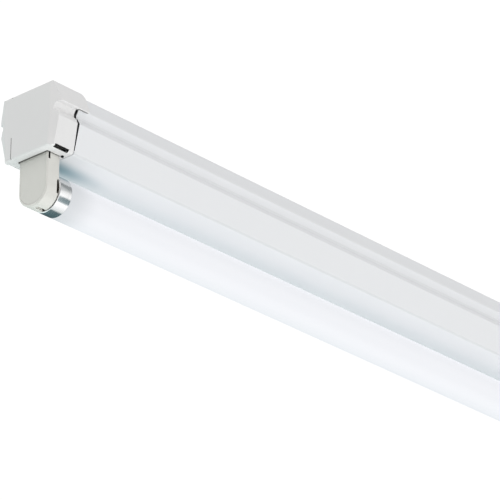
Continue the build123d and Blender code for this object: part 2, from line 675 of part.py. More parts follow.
def holder_contacts():
    """Pair of bronze springs, each bulging in to a lamp pin and running up to its lead."""
    upper = LEAD_OFFSET + CONTACT_SHEET / 2
    strip = [
        (CONTACT_Y + CONTACT_BULGE, Z_LAMP - CONTACT_HALF, 0),
        (CONTACT_Y, Z_LAMP, CONTACT_SHEET),
        (CONTACT_Y + CONTACT_BULGE, Z_LAMP + CONTACT_HALF, CONTACT_SHEET),
        (upper - CONTACT_SHEET, Z_LAMP + 3 * CONTACT_HALF, CONTACT_SHEET),
        (upper - CONTACT_SHEET, Z_LEAD_END, 0),
    ]
    start = inset_x(CONTACT_INSET)
    spring = along_x(bent_sheet(strip, CONTACT_SHEET), start, start + CONTACT_WIDTH)
    return group([spring, mirror(spring, about=Plane.XZ)])


def lamp_x(depth):
    """Place on X at a depth behind the near lamp cap's face."""
    return depth - LAMP_LENGTH / 2


def lamp_cap():
    """Aluminium shell with a turned-in rim."""
    radius = LAMP_DIAMETER / 2
    inner = radius - LAMP_CAP_WALL
    corners = [
        (lamp_x(0), radius - LAMP_CAP_RIM, 0),
        (lamp_x(0), radius, LAMP_CAP_EDGE),
        (lamp_x(LAMP_CAP_LENGTH), radius, 0),
        (lamp_x(LAMP_CAP_LENGTH), inner, 0),
        (lamp_x(LAMP_CAP_WALL), inner, LAMP_CAP_EDGE - LAMP_CAP_WALL),
        (lamp_x(LAMP_CAP_WALL), radius - LAMP_CAP_RIM, 0),
    ]
    return turned_x(corners, 0, Z_LAMP)


def lamp_disc():
    """Insulating disc behind the cap's rim, drilled for the pins."""
    radius = LAMP_DIAMETER / 2 - LAMP_CAP_WALL - CEMENT_GAP
    edge = LAMP_CAP_EDGE - LAMP_CAP_WALL
    start = lamp_x(LAMP_CAP_WALL)
    end = start + DISC_THICKNESS
    disc = turned_x([(start, 0, 0), (start, radius, edge), (end, radius, 0), (end, 0, 0)], 0, Z_LAMP)
    for y in (-PIN_SPACING / 2, PIN_SPACING / 2):
        disc -= rod_x(PIN_DIAMETER / 2 + SNUG_FIT, start, end, y, Z_LAMP)
    return disc


def lamp_pins():
    """Two brass pins riveted behind the disc."""
    radius = PIN_DIAMETER / 2
    disc_back = lamp_x(LAMP_CAP_WALL + DISC_THICKNESS)
    corners = [
        (lamp_x(-PIN_LENGTH), 0, 0),
        (lamp_x(-PIN_LENGTH), radius, PIN_TIP),
        (disc_back, radius, 0),
        (disc_back, PIN_HEAD_DIAMETER / 2, 0),
        (disc_back + PIN_HEAD_THICKNESS, PIN_HEAD_DIAMETER / 2, 0),
        (disc_back + PIN_HEAD_THICKNESS, 0, 0),
    ]
    return group(turned_x(corners, y, Z_LAMP) for y in (-PIN_SPACING / 2, PIN_SPACING / 2))


def glass_start():
    """Depth of the glass's end behind the cap's face."""
    return LAMP_CAP_WALL + DISC_THICKNESS + PIN_HEAD_THICKNESS + CEMENT_GAP


def glass_half(drawn_in, end):
    """Half of the tube's profile: a neck inside the cap, a short taper, then the full radius."""
    radius = LAMP_DIAMETER / 2 - drawn_in
    neck = radius - LAMP_CAP_WALL - CEMENT_GAP
    taper_start = lamp_x(LAMP_CAP_LENGTH + CEMENT_GAP)
    taper_end = taper_start + radius - neck
    return [(end, 0, 0), (end, neck, 0), (taper_start, neck, 0), (taper_end, radius, 0)]


def turned_both_ways(half):
    """Solid of revolution on the lamp's axis, the same at both ends."""
    return turned_x(half + [(-x, radius, 0) for x, radius, _ in half[::-1]], 0, Z_LAMP)


def lamp_glass():
    """Glass tube, necked where it enters the caps, with a pressed stem at each end."""
    end = lamp_x(glass_start())
    tube = turned_both_ways(glass_half(0, end)) - turned_both_ways(glass_half(GLASS_WALL, end + GLASS_WALL))
    stem = rod_x(STEM_DIAMETER / 2, end + GLASS_WALL / 2, end + STEM_LENGTH, 0, Z_LAMP)
    return tube + stem + other_end(stem)


def lamp_electrode():
    """Two lead wires out of the stem with the coiled cathode between them."""
    start = lamp_x(glass_start() + STEM_LENGTH)
    tip = start + ELECTRODE_REACH
    spread = ELECTRODE_SPREAD / 2
    coil = Pos(tip, 0, Z_LAMP) * Rot(90, 0, 0) * Cylinder(COIL_DIAMETER / 2, ELECTRODE_SPREAD)
    for side in (-1, 1):
        foot = (start, side * STEM_DIAMETER / 4, Z_LAMP)
        knee = (start + ELECTRODE_REACH / 3, side * STEM_DIAMETER / 4, Z_LAMP)
        top = (tip, side * (spread - ELECTRODE_WIRE), Z_LAMP)
        section = Plane(origin=foot, z_dir=(1, 0, 0)) * Circle(ELECTRODE_WIRE / 2)
        coil += sweep(section, path=Polyline(foot, knee, top), transition=Transition.RIGHT)
    return coil


def ballast_base():
    """Steel base plate with an ear at each end and four posts for the board."""
    length = BALLAST_LENGTH + 2 * BALLAST_EAR
    plan = Pos(BALLAST_CENTRE, 0) * RectangleRounded(length, BALLAST_WIDTH, 2 * BALLAST_CORNER)
    bottom = Z_INSIDE - BALLAST_SHEET
    base = down_from(plan, Z_INSIDE, bottom)
    for x in BALLAST_STUDS:
        base -= rod_z(STUD_DIAMETER / 2 + STUD_HOLE_FIT, x, 0, bottom, Z_INSIDE)
    post_x = BALLAST_END - TERMINAL_LENGTH - POST_INSET
    post_y = BALLAST_WIDTH / 2 - POST_INSET
    for x in (BALLAST_CENTRE - post_x, BALLAST_CENTRE + post_x):
        for y in (-post_y, post_y):
            base += rod_z(POST_DIAMETER / 2, x, y, bottom - BOARD_GAP, bottom)
    return base


def ballast_lid():
    """Steel lid over the board, open towards the base."""
    length = BALLAST_LENGTH - 2 * TERMINAL_LENGTH
    top = Z_INSIDE - BALLAST_SHEET
    bottom = top - BALLAST_HEIGHT
    walls = 2 * BALLAST_SHEET
    outer = RectangleRounded(length, BALLAST_WIDTH, BALLAST_CORNER)
    inner = RectangleRounded(length - walls, BALLAST_WIDTH - walls, BALLAST_CORNER - BALLAST_SHEET)
    lid = down_from(outer, top, bottom) - down_from(inner, top, bottom + BALLAST_SHEET)
    return Pos(BALLAST_CENTRE, 0, 0) * lid


def board_size():
    """Length and width of the circuit board inside the lid."""
    margin = 2 * (BALLAST_SHEET + BOARD_MARGIN)
    return BALLAST_LENGTH - 2 * TERMINAL_LENGTH - margin, BALLAST_WIDTH - margin


def ballast_board():
    """Circuit board seated on the base's posts."""
    length, width = board_size()
    top = Z_INSIDE - BALLAST_SHEET - BOARD_GAP
    return down_from(Pos(BALLAST_CENTRE, 0) * Rectangle(length, width), top, top - BOARD_THICKNESS)


def ballast_components():
    """Storage capacitor, two coils and a ring choke under the board."""
    top = Z_INSIDE - BALLAST_SHEET - BOARD_GAP - BOARD_THICKNESS
    places = [BALLAST_CENTRE + step * COMPONENT_PITCH for step in (-1.5, -0.5, 0.5, 1.5)]
    radius = CAPACITOR_DIAMETER / 2
    half = CAPACITOR_LENGTH / 2
    capacitor = rod_x(radius, places[0] - half, places[0] + half, 0, top - radius)
    plan = RectangleRounded(COIL_FORMER_LENGTH, COIL_FORMER_WIDTH, BALLAST_CORNER)
    coils = [down_from(Pos(x, 0) * plan, top, top - COIL_FORMER_HEIGHT) for x in places[1:3]]
    ring = rod_z(CHOKE_DIAMETER / 2, places[3], 0, top - CHOKE_HEIGHT, top)
    ring -= rod_z(CHOKE_HOLE / 2, places[3], 0, top - CHOKE_HEIGHT, top)
    return group([capacitor, *coils, ring])


def ballast_terminals():
    """Push-in terminal block on each end of the ballast: two lamp ways, and two supply ways on one."""
    top = Z_INSIDE - BALLAST_SHEET
    half_width = BALLAST_WIDTH / 2 - TERMINAL_INSET
    hole = WIRE_DIAMETER / 2 + WIRE_HOLE_FIT
    lamp_ways = [-LEAD_OFFSET, LEAD_OFFSET]
    ways = {-1: lamp_ways, 1: lamp_ways + [-POLE_PITCH, POLE_PITCH]}
    bodies = []
    for side, places in ways.items():
        face = BALLAST_CENTRE + side * BALLAST_END
        reach = sorted((face, face - side * TERMINAL_LENGTH))
        body = block(reach, (-half_width, half_width), (top - TERMINAL_HEIGHT, top))
        depth = sorted((face, face - side * 2 * WIRE_INSERT))
        key_x = face - side * TERMINAL_LENGTH / 2
        for y in places:
            body -= rod_x(hole, *depth, y, Z_LEAD)
            key = (top - TERMINAL_HEIGHT, top - TERMINAL_HEIGHT + TERMINAL_KEY_DEPTH)
            reach_x = (key_x - TERMINAL_KEY, key_x + TERMINAL_KEY)
            body -= block(reach_x, (y - TERMINAL_KEY / 2, y + TERMINAL_KEY / 2), key)
        bodies.append(body)
    return group(bodies)


def weld_studs():
    """Threaded studs welded to the inside of the spine for the ballast and the earth tag."""
    places = BALLAST_STUDS + [EARTH_X]
    return group(rod_z(STUD_DIAMETER / 2, x, 0, Z_INSIDE - STUD_LENGTH, Z_INSIDE) for x in places)


def hex_nut(x, top):
    """Hexagon nut on a stud."""
    radius = STUD_DIAMETER / 2 + SNUG_FIT
    plan = RegularPolygon(NUT_ACROSS_FLATS / 2, 6, major_radius=False) - Circle(radius)
    return down_from(Pos(x, 0) * plan, top, top - NUT_HEIGHT)


def toothed_washer():
    """Star washer that bites through the paint under the earth nut."""
    radius = STUD_DIAMETER / 2 + STUD_HOLE_FIT
    tooth = WASHER_DIAMETER / 2 - WASHER_THICKNESS
    plan = Circle(WASHER_DIAMETER / 2) - Circle(radius)
    notch = Pos(WASHER_DIAMETER / 2, 0) * Rectangle(2 * (WASHER_DIAMETER / 2 - tooth), WASHER_THICKNESS)
    plan -= [Rot(0, 0, 360 / WASHER_TEETH * step) * notch for step in range(WASHER_TEETH)]
    top = Z_INSIDE - TAG_THICKNESS
    return down_from(Pos(EARTH_X, 0) * plan, top, top - WASHER_THICKNESS)


def barrel_z():
    """Level of the earth tag's barrel and of the wire in it."""
    return Z_INSIDE - WIRE_DIAMETER / 2 - SNUG_FIT - TAG_BARREL_WALL


def earth_tag():
    """Ring tag on the earth stud with a crimp barrel for the earth lead."""
    plan = Pos(EARTH_X, 0) * (Circle(TAG_DIAMETER / 2) - Circle(STUD_DIAMETER / 2 + STUD_HOLE_FIT))
    ring = down_from(plan, Z_INSIDE, Z_INSIDE - TAG_THICKNESS)
    bore = WIRE_DIAMETER / 2 + SNUG_FIT
    start = EARTH_X + TAG_DIAMETER / 2 + TAG_NECK
    neck_start = EARTH_X + TAG_DIAMETER / 2 - TAG_THICKNESS
    neck = block((neck_start, start + TAG_BARREL_WALL), (-bore, bore), (Z_INSIDE - TAG_THICKNESS, Z_INSIDE))
    barrel = rod_x(bore + TAG_BARREL_WALL, start, start + TAG_BARREL_LENGTH, 0, barrel_z())
    return ring + neck + barrel - rod_x(bore, start, start + TAG_BARREL_LENGTH, 0, barrel_z())


def terminal_block():
    """Three-pole supply terminal block with a snap foot through the spine."""
    plan = Pos(BLOCK_X, 0) * RectangleRounded(BLOCK_LENGTH, 2 * BLOCK_HALF_WIDTH, BLOCK_EDGE)
    body = down_from(plan, Z_INSIDE, Z_INSIDE - BLOCK_HEIGHT)
    neck = FOOT_NECK / 2
    head = FOOT_HEAD / 2
    body += block((BLOCK_X - neck, BLOCK_X + neck), (-neck, neck), (Z_INSIDE, Z_SPINE + SNUG_FIT))
    head_levels = (Z_SPINE + SNUG_FIT, Z_SPINE + SNUG_FIT + FOOT_HEAD_HEIGHT)
    body += block((BLOCK_X - head, BLOCK_X + head), (-neck, neck), head_levels)
    hole = WIRE_DIAMETER / 2 + WIRE_HOLE_FIT
    cage = INSERT_SIZE / 2 + INSERT_FIT
    cage_reach = (BLOCK_X - INSERT_LENGTH / 2 - INSERT_FIT, BLOCK_X + INSERT_LENGTH / 2 + INSERT_FIT)
    for y in POLES:
        body -= rod_x(hole, BLOCK_START, BLOCK_START + BLOCK_LENGTH, y, Z_LEAD)
        body -= block(cage_reach, (y - cage, y + cage), (Z_LEAD - cage, Z_LEAD + cage))
        for x in terminal_screw_places():
            body -= rod_z(TERMINAL_SCREW / 2 + INSERT_FIT, x, y, Z_INSIDE - BLOCK_HEIGHT, Z_LEAD)
    return body


def terminal_screw_places():
    """Places on X of the two screws of each pole."""
    return [BLOCK_X - TERMINAL_SCREW_PITCH / 2, BLOCK_X + TERMINAL_SCREW_PITCH / 2]


def terminal_inserts():
    """Brass tubes inside the terminal block, bored for the wires and tapped for the screws."""
    half = INSERT_SIZE / 2
    inserts = []
    for y in POLES:
        reach = (BLOCK_X - INSERT_LENGTH / 2, BLOCK_X + INSERT_LENGTH / 2)
        tube = block(reach, (y - half, y + half), (Z_LEAD - half, Z_LEAD + half))
        tube -= rod_x(WIRE_DIAMETER / 2 + WIRE_HOLE_FIT, *reach, y, Z_LEAD)
        for x in terminal_screw_places():
            tube -= rod_z(TERMINAL_SCREW / 2 + SNUG_FIT, x, y, Z_LEAD - half, Z_LEAD)
        inserts.append(tube)
    return group(inserts)


def terminal_screws():
    """Slotted clamp screws of the terminal block."""
    top = Z_LEAD - WIRE_DIAMETER / 2 - WIRE_HOLE_FIT
    low = top - TERMINAL_SCREW_LENGTH
    slot_half = TERMINAL_SCREW_SLOT / 2
    screws = []
    for y in POLES:
        for x in terminal_screw_places():
            slot_x = (x - TERMINAL_SCREW, x + TERMINAL_SCREW)
            slot_y = (y - slot_half, y + slot_half)
            slot = block(slot_x, slot_y, (low, low + TERMINAL_SCREW_SLOT))
            screws.append(rod_z(TERMINAL_SCREW / 2, x, y, low, top) - slot)
    return group(screws)


def cable_grommet():
    """Rubber grommet in the cable entry."""
    bore = CABLE_BORE / 2
    neck = ENTRY_DIAMETER / 2 - GROMMET_FIT
    flange = ENTRY_DIAMETER / 2 + GROMMET_FLANGE
    under = Z_INSIDE - GROMMET_DEPTH
    corners = [
        (bore, Z_SPINE + GROMMET_LIP, 0),
        (flange, Z_SPINE + GROMMET_LIP, GROMMET_LIP / 2),
        (flange, Z_SPINE, 0),
        (neck, Z_SPINE, 0),
        (neck, Z_INSIDE, 0),
        (flange, Z_INSIDE, 0),
        (neck, under, 0),
        (bore, under, 0),
    ]
    return turned_z(corners, ENTRY_X)


def blanking_plug():
    """Plastic plug that snaps into the entry that isn't used."""
    neck = ENTRY_DIAMETER / 2 - GROMMET_FIT
    flange = ENTRY_DIAMETER / 2 + GROMMET_FLANGE
    catch_low = Z_INSIDE - PLUG_CATCH_HEIGHT
    inner = neck - PLUG_SKIN
    corners = [
        (0, Z_SPINE + PLUG_SKIN, 0),
        (flange, Z_SPINE + PLUG_SKIN, PLUG_SKIN / 2),
        (flange, Z_SPINE, 0),
        (neck, Z_SPINE, 0),
        (neck, Z_INSIDE, 0),
        (neck + PLUG_CATCH, Z_INSIDE, 0),
        (neck, catch_low, 0),
        (inner, catch_low, 0),
        (inner, Z_SPINE, 0),
        (0, Z_SPINE, 0),
    ]
    return turned_z(corners, BLANK_X)


def lamp_leads(side):
    """Pair of leads from the ballast along the spine and down into a lampholder's head."""
    start = BALLAST_CENTRE + side * (BALLAST_END - WIRE_INSERT)
    end = side * (HALF_LENGTH - CONTACT_MIDDLE)
    low = Z_LEAD_END + CONTACT_GAP
    leads = []
    for y in (-LEAD_OFFSET, LEAD_OFFSET):
        leads.append(wire([(start, y, Z_LEAD), (end, y, Z_LEAD), (end, y, low)], LEAD_BEND))
    return group(leads)


def mains_lead(y):
    """Supply lead from the terminal block to the ballast, with a little slack."""
    start = BALLAST_CENTRE + BALLAST_END - WIRE_INSERT
    end = BLOCK_START + WIRE_INSERT
    middle = (start + end) / 2
    points = [
        (start, y, Z_LEAD),
        (start + MAINS_STRAIGHT, y, Z_LEAD),
        (middle, y, Z_LEAD - MAINS_DIP),
        (end - MAINS_STRAIGHT, y, Z_LEAD),
        (end, y, Z_LEAD),
    ]
    return wire(points, MAINS_BEND)


def earth_lead():
    """Earth lead from the tag's barrel to the middle pole of the terminal block."""
    start = EARTH_X + TAG_DIAMETER / 2 + TAG_NECK
    leave = start + TAG_BARREL_LENGTH
    level = barrel_z()
    points = [
        (start + TAG_BARREL_WALL, 0, level),
        (leave + WIRE_DIAMETER, 0, level),
        (BLOCK_START - WIRE_DIAMETER, 0, Z_LEAD),
        (BLOCK_START + WIRE_INSERT, 0, Z_LEAD),
    ]
    return wire(points, EARTH_BEND)


def wire_clips():
    """Plastic clips under the spine that hold the lamp leads."""
    hole = WIRE_DIAMETER / 2 + WIRE_HOLE_FIT
    half = hole + CLIP_WALL
    outer = HALF_LENGTH - CLIP_INSET
    beside_ballast = BALLAST_CENTRE - BALLAST_END - BALLAST_EAR - CLIP_TO_BALLAST
    clips = []
    for x in (-outer, beside_ballast, ENTRY_X + CLIP_TO_ENTRY, outer):
        reach = (x - CLIP_LENGTH / 2, x + CLIP_LENGTH / 2)
        body = block(reach, (LEAD_OFFSET - half, LEAD_OFFSET + half), (Z_LEAD - half, Z_INSIDE))
        body -= rod_x(hole, *reach, LEAD_OFFSET, Z_LEAD)
        mouth = (Z_LEAD - CLIP_MOUTH / 2, Z_LEAD + CLIP_MOUTH / 2)
        body -= block(reach, (LEAD_OFFSET, LEAD_OFFSET + half), mouth)
        clips += [body, mirror(body, about=Plane.XZ)]
    return group(clips)


def assembly():
    """Every node of the light by name."""
    nodes = {
        "spine": spine(),
        "cover": cover(),
        "cover_clips": cover_clips(),
        "weld_studs": weld_studs(),
        "cable_grommet": cable_grommet(),
        "blanking_plug": blanking_plug(),
        "ballast_base": ballast_base(),
        "ballast_lid": ballast_lid(),
        "ballast_board": ballast_board(),
        "ballast_components": ballast_components(),
        "ballast_terminals": ballast_terminals(),
        "ballast_nuts": group(hex_nut(x, Z_INSIDE - BALLAST_SHEET) for x in BALLAST_STUDS),
        "earth_tag": earth_tag(),
        "earth_washer": toothed_washer(),
        "earth_nut": hex_nut(EARTH_X, Z_INSIDE - TAG_THICKNESS - WASHER_THICKNESS),
        "terminal_block": terminal_block(),
        "terminal_inserts": terminal_inserts(),
        "terminal_screws": terminal_screws(),
        "live_lead": mains_lead(POLE_PITCH),
        "neutral_lead": mains_lead(-POLE_PITCH),
        "earth_lead": earth_lead(),
        "wire_clips": wire_clips(),
        "lamp_leads_near": lamp_leads(-1),
        "lamp_leads_far": lamp_leads(1),
        "lamp_glass": lamp_glass(),
    }
    paired = {
        "end_cap": end_cap,
        "holder_housing": holder_housing,
        "holder_back": holder_back,
        "holder_rotor": holder_rotor,
        "holder_contacts": holder_contacts,
        "holder_screws": holder_screws,
        "lamp_cap": lamp_cap,
        "lamp_disc": lamp_disc,
        "lamp_pins": lamp_pins,
        "lamp_electrode": lamp_electrode,
    }
    for name, make in paired.items():
        near = make()
        nodes[name + "_near"] = near
        nodes[name + "_far"] = other_end(near)
    return nodes


os.makedirs("parts", exist_ok=True)
for node, shape in assembly().items():
    export_step(shape, f"parts/{node}.step")
print(f"light {2 * HALF_LENGTH:.1f} long, lamp axis {-Z_LAMP:.1f} below the ceiling")
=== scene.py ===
# %% [markdown]
# # A batten light from its solids to a studio picture
# The light hangs from a ceiling: a folded steel spine, a folded steel cover, a moulded cap on each end and
# one white tube between two lampholders. Its solids are already made, in metres, with the ceiling at z = 0
# and the tube along X.

# %% Load the solids
import json
import math

import bmesh
import bpy
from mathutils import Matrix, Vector


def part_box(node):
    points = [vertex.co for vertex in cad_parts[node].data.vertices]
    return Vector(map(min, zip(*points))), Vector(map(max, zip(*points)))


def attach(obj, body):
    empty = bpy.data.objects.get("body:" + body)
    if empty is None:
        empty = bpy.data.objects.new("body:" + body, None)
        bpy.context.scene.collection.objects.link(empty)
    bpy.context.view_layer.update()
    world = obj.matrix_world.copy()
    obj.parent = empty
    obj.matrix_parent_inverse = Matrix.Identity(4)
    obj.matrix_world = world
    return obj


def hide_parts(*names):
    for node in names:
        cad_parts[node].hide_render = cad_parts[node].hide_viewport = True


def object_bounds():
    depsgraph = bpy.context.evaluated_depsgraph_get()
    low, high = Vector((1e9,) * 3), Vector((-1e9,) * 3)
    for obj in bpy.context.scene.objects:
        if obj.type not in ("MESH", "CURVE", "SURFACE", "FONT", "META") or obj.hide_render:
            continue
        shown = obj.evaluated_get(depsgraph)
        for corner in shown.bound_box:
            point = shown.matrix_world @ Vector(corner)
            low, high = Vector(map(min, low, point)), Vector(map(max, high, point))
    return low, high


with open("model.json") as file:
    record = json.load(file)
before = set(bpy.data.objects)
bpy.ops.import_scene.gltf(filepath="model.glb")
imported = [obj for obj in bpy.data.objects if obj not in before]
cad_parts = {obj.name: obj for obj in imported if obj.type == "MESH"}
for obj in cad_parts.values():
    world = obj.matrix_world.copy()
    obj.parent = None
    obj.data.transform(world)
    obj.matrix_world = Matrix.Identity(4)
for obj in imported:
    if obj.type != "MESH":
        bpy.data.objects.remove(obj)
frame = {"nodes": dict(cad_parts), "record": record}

solid_low, solid_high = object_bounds()
MM = 0.001
print("solids", len(frame["nodes"]), "size in mm", [round(v / MM, 1) for v in solid_high - solid_low])

# %% [markdown]
# ## Sums that turn into nodes
# A finish is a tree of nodes, and most of a tree is plain arithmetic. It could be wired one Math node at a
# time, but that hides the idea. Here a small class stands for one output of a node, so that 1 - mask or
# grain * 0.1 adds the Math nodes by itself, and one method makes every other kind of node.


# %% Outputs that can be added and multiplied
class Signal:
    """One output of a node; sums with it add Math nodes to the same tree."""

    def __init__(self, recipe, socket):
        self.recipe = recipe
        self.socket = socket

    def math(self, operation, *values):
        return self.recipe.node("ShaderNodeMath", {"operation": operation}, dict(enumerate(values)))

    def __add__(self, other):
        return self.math("ADD", self, other)

    def __radd__(self, other):
        return self.math("ADD", other, self)

    def __sub__(self, other):
        return self.math("SUBTRACT", self, other)

    def __rsub__(self, other):
        return self.math("SUBTRACT", other, self)

    def __mul__(self, other):
        return self.math("MULTIPLY", self, other)

    def __rmul__(self, other):
        return self.math("MULTIPLY", other, self)

    def size(self):
        """The value without its sign."""
        return self.math("ABSOLUTE", self)

    def root(self):
        return self.math("SQRT", self)

    def wave(self):
        """Sine of the value in radians."""
        return self.math("SINE", self)

    def at_least(self, other):
        """The larger of two values."""
        return self.math("MAXIMUM", self, other)

    def between(self, low, high):
        """1 where the value lies between low and high, 0 elsewhere."""
        return self.math("GREATER_THAN", self, low) * self.math("LESS_THAN", self, high)

    def rise(self, low, high):
        """0 up to low, 1 from high on, and a smooth step between them."""
        span = {"Value": self, "From Min": low, "From Max": high}
        return self.recipe.node("ShaderNodeMapRange", {"interpolation_type": "SMOOTHSTEP"}, span)


class Recipe:
    """A node tree that grows by one call per node."""

    def __init__(self, tree):
        self.tree = tree

    def node(self, kind, settings=None, values=None, output=0):
        made = self.tree.nodes.new(kind)
        for name, value in (settings or {}).items():
            setattr(made, name, value)
        for name, value in (values or {}).items():
            self.feed(made.inputs[name], value)
        return Signal(self, made.outputs[output]) if made.outputs else None

    def feed(self, socket, value):
        if isinstance(value, Signal):
            self.tree.links.new(value.socket, socket)
        else:
            socket.default_value = value


print("a sum such as 1 - mask now makes its own nodes")

# %% [markdown]
# ## What all finishes share
# Paint, plastic and metal are never one flat colour: they wander a little in shade and in gloss, and they
# have a fine relief. Each finish reads Object coordinates, which are metres here, so a grain can be given its
# real size. Numbers that are the same all over go straight to the shader's own sockets.


# %% A finish with colour, gloss and relief
class Finish(Recipe):
    """A material whose colour, roughness and relief vary over the surface."""

    def __init__(self, slot, **constants):
        self.material = bpy.data.materials.new(slot)
        self.material.use_nodes = True
        super().__init__(self.material.node_tree)
        self.shader = self.tree.nodes["Principled BSDF"]
        for name, value in constants.items():
            self.shader.inputs[name.replace("_", " ").title().replace("Ior", "IOR")].default_value = value
        self.place = self.node("ShaderNodeTexCoord", output="Object")
        finishes[slot] = self.material

    def axis(self, letter):
        """Distance along X, Y or Z in metres."""
        return self.node("ShaderNodeSeparateXYZ", {}, {"Vector": self.place}, output=letter)

    def grain(self, lump, detail=2.0, stretch=(1.0, 1.0, 1.0)):
        """Noise from 0 to 1 with lumps of about that size in metres."""
        spread = {"operation": "MULTIPLY"}
        place = self.node("ShaderNodeVectorMath", spread, {0: self.place, 1: stretch})
        return self.node("ShaderNodeTexNoise", {}, {"Vector": place, "Scale": 1 / lump, "Detail": detail})

    def cells(self, lump):
        """Distance from the middles of cells of about that size in metres."""
        inputs = {"Vector": self.place, "Scale": 1 / lump}
        return self.node("ShaderNodeTexVoronoi", {}, inputs, output="Distance")

    def mix(self, share, first, second):
        """Colour that goes from first to second as share goes from 0 to 1."""
        inputs = {0: share, 6: as_colour(first), 7: as_colour(second)}
        return self.node("ShaderNodeMix", {"data_type": "RGBA"}, inputs, output=2)

    def colour(self, value):
        self.feed(self.shader.inputs["Base Color"], as_colour(value))

    def surface(self, colour, roughness):
        self.colour(colour)
        self.feed(self.shader.inputs["Roughness"], roughness)

    def relief(self, height, depth):
        """Raise the surface by depth metres where height is 1."""
        lifted = self.node("ShaderNodeBump", {}, {"Height": height, "Distance": depth, "Strength": 1.0})
        self.feed(self.shader.inputs["Normal"], lifted)


def as_colour(value):
    """Three numbers get full alpha; a node's output stays as it is."""
    return value if isinstance(value, Signal) else (*value, 1.0)


finishes = {}
print("finishes start from Object coordinates in metres")

# %% [markdown]
# ## White powder coat
# The spine and the cover are folded steel with a baked white powder coat. Close up it has a fine orange
# peel, a slow change of shade where the film is thicker, and a little more gloss along the folds, where it
# is rubbed. Along the cover's lower bends the colour is darker: painted shade that tones down their
# highlight.
# A bump from two sizes of noise gives the peel without a single extra face, and the level z of a place tells
# whether it is on a fold.

# %% Powder coat
RIDGE_Z = -13.9 * MM
COARSE_PEEL = 1.6 * MM
FINE_PEEL = 0.5 * MM
PEEL_DEPTH = 0.02 * MM
FILM_LUMP = 45 * MM
THIN_PAINT = (0.848, 0.855, 0.871)
THICK_PAINT = (0.876, 0.882, 0.894)
# painted shade: darker colour along the cover's lower bends, toning down the highlight there
BEND_PAINTED_SHADE = (0.750, 0.757, 0.770)
cover_low, cover_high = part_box("cover")
coat = Finish("painted_steel", ior=1.5)
height = coat.axis("Z")
peel = coat.grain(COARSE_PEEL, 1.0) * 0.7 + coat.grain(FINE_PEEL, 0.0) * 0.3
film = coat.grain(FILM_LUMP, 3.0)
off_ridge = (height - RIDGE_Z).size().rise(0.2 * MM, 1.2 * MM)
off_base = (height - cover_low.z).size().rise(0.4 * MM, 2.0 * MM)
fold = 1 - off_ridge * off_base
even = coat.mix(film, THIN_PAINT, THICK_PAINT)
onto_bend = height.rise(cover_low.z + 0.05 * MM, cover_low.z + 0.25 * MM)
past_bend = height.rise(cover_low.z + 0.7 * MM, cover_low.z + 1.5 * MM)
paint = coat.mix(onto_bend * (1 - past_bend), even, BEND_PAINTED_SHADE)
coat.surface(paint, 0.40 + film * 0.08 - fold * 0.05)
coat.relief(peel, PEEL_DEPTH)
print("powder coat with", len(coat.tree.nodes), "nodes")

# %% [markdown]
# ## Painted shade on the cover
# The corner beside the lampholder is dark in the photo, so the paint gets a grey oval of painted shade over
# each end of the lamp. It could be painted on a texture, but an oval is only a circle whose distance is
# counted in its own length and width, so a few sums are enough. Inside the narrow joint with the end cap a
# mask by place paints the coat nearly black, as painted shade for the gap.

# %% Painted shade: ovals and the joint
# painted shade: a grey oval on the cover's underside over each end of the lamp, beside the lampholder
SHADE_OVAL_MIDDLE = 290.0 * MM
SHADE_OVAL_LENGTH = 58.0 * MM
SHADE_OVAL_WIDTH = 14.0 * MM
SHADE_OVAL_CORE = 0.05
PAINTED_SHADE_GREY = (0.275, 0.400, 0.450)
SKIRT_LENGTH = 18.9 * MM
SKIRT_END = solid_high.x - SKIRT_LENGTH
JOINT_TOP = -15.3 * MM
JOINT_BOTTOM = -42.0 * MM
SKIN = 0.05 * MM
# painted shade: near black for gaps, slots and grooves, where shade falls
PAINTED_SHADE_BLACK = (0.016, 0.016, 0.016)
outwards = coat.axis("X").size()
along = (outwards - SHADE_OVAL_MIDDLE) * (1 / SHADE_OVAL_LENGTH)
across = coat.axis("Y") * (1 / SHADE_OVAL_WIDTH)
oval = 1 - (along * along + across * across).root().rise(SHADE_OVAL_CORE, 1.0)
below = 1 - height.rise(cover_low.z + 0.1 * MM, cover_low.z + 1.5 * MM)
with_painted_shade = coat.mix(oval * (0.6 + oval * 0.4) * below, paint, PAINTED_SHADE_GREY)
near_top = height.rise(JOINT_TOP - 4.7 * MM, JOINT_TOP - 0.7 * MM)
in_joint = outwards.between(cover_high.x - SKIN, SKIRT_END) * height.between(JOINT_BOTTOM, JOINT_TOP)
# painted shade: near black inside the joint with the end cap
coat.colour(coat.mix(in_joint * (1 - near_top * 0.25), with_painted_shade, PAINTED_SHADE_BLACK))
print("marks start", round((SHADE_OVAL_MIDDLE - SHADE_OVAL_LENGTH) / MM), "mm from the middle of the lamp")

# %% [markdown]
# ## Moulded white plastic
# The end caps come out of a spark-eroded mould, so their skin is a satin grain rather than paint. Plastic
# also shows faint flow marks round the gate where it was injected, low on the end face. Distance from that
# gate, bent by noise, makes the rings.

# %% End cap plastic
GATE_Z = -36.0 * MM
RINGS_PER_METRE = 900
SPARK_LUMP = 0.35 * MM
SPARK_DEPTH = 0.012 * MM
DRIFT_LUMP = 18 * MM
moulded = Finish("cap_plastic", ior=1.49)
spark = moulded.grain(SPARK_LUMP, 1.0)
drift = moulded.grain(DRIFT_LUMP, 2.0)
cap_out = moulded.axis("X").size()
cap_side = moulded.axis("Y")
cap_height = moulded.axis("Z")
gate_lift = cap_height - GATE_Z
gate_reach = (gate_lift * gate_lift + cap_side * cap_side).root()
rings = (gate_reach * RINGS_PER_METRE + drift * 5).wave()
near_gate = 1 - gate_reach.rise(4 * MM, 16 * MM)
moulded_colour = moulded.mix(drift, (0.838, 0.830, 0.828), (0.864, 0.856, 0.853))
moulded.surface(moulded_colour, 0.44 + spark * 0.06 + rings * near_gate * 0.03)
moulded.relief(spark * 0.8 + rings * near_gate * 0.05, SPARK_DEPTH)
print("end cap plastic with", len(moulded.tree.nodes), "nodes")
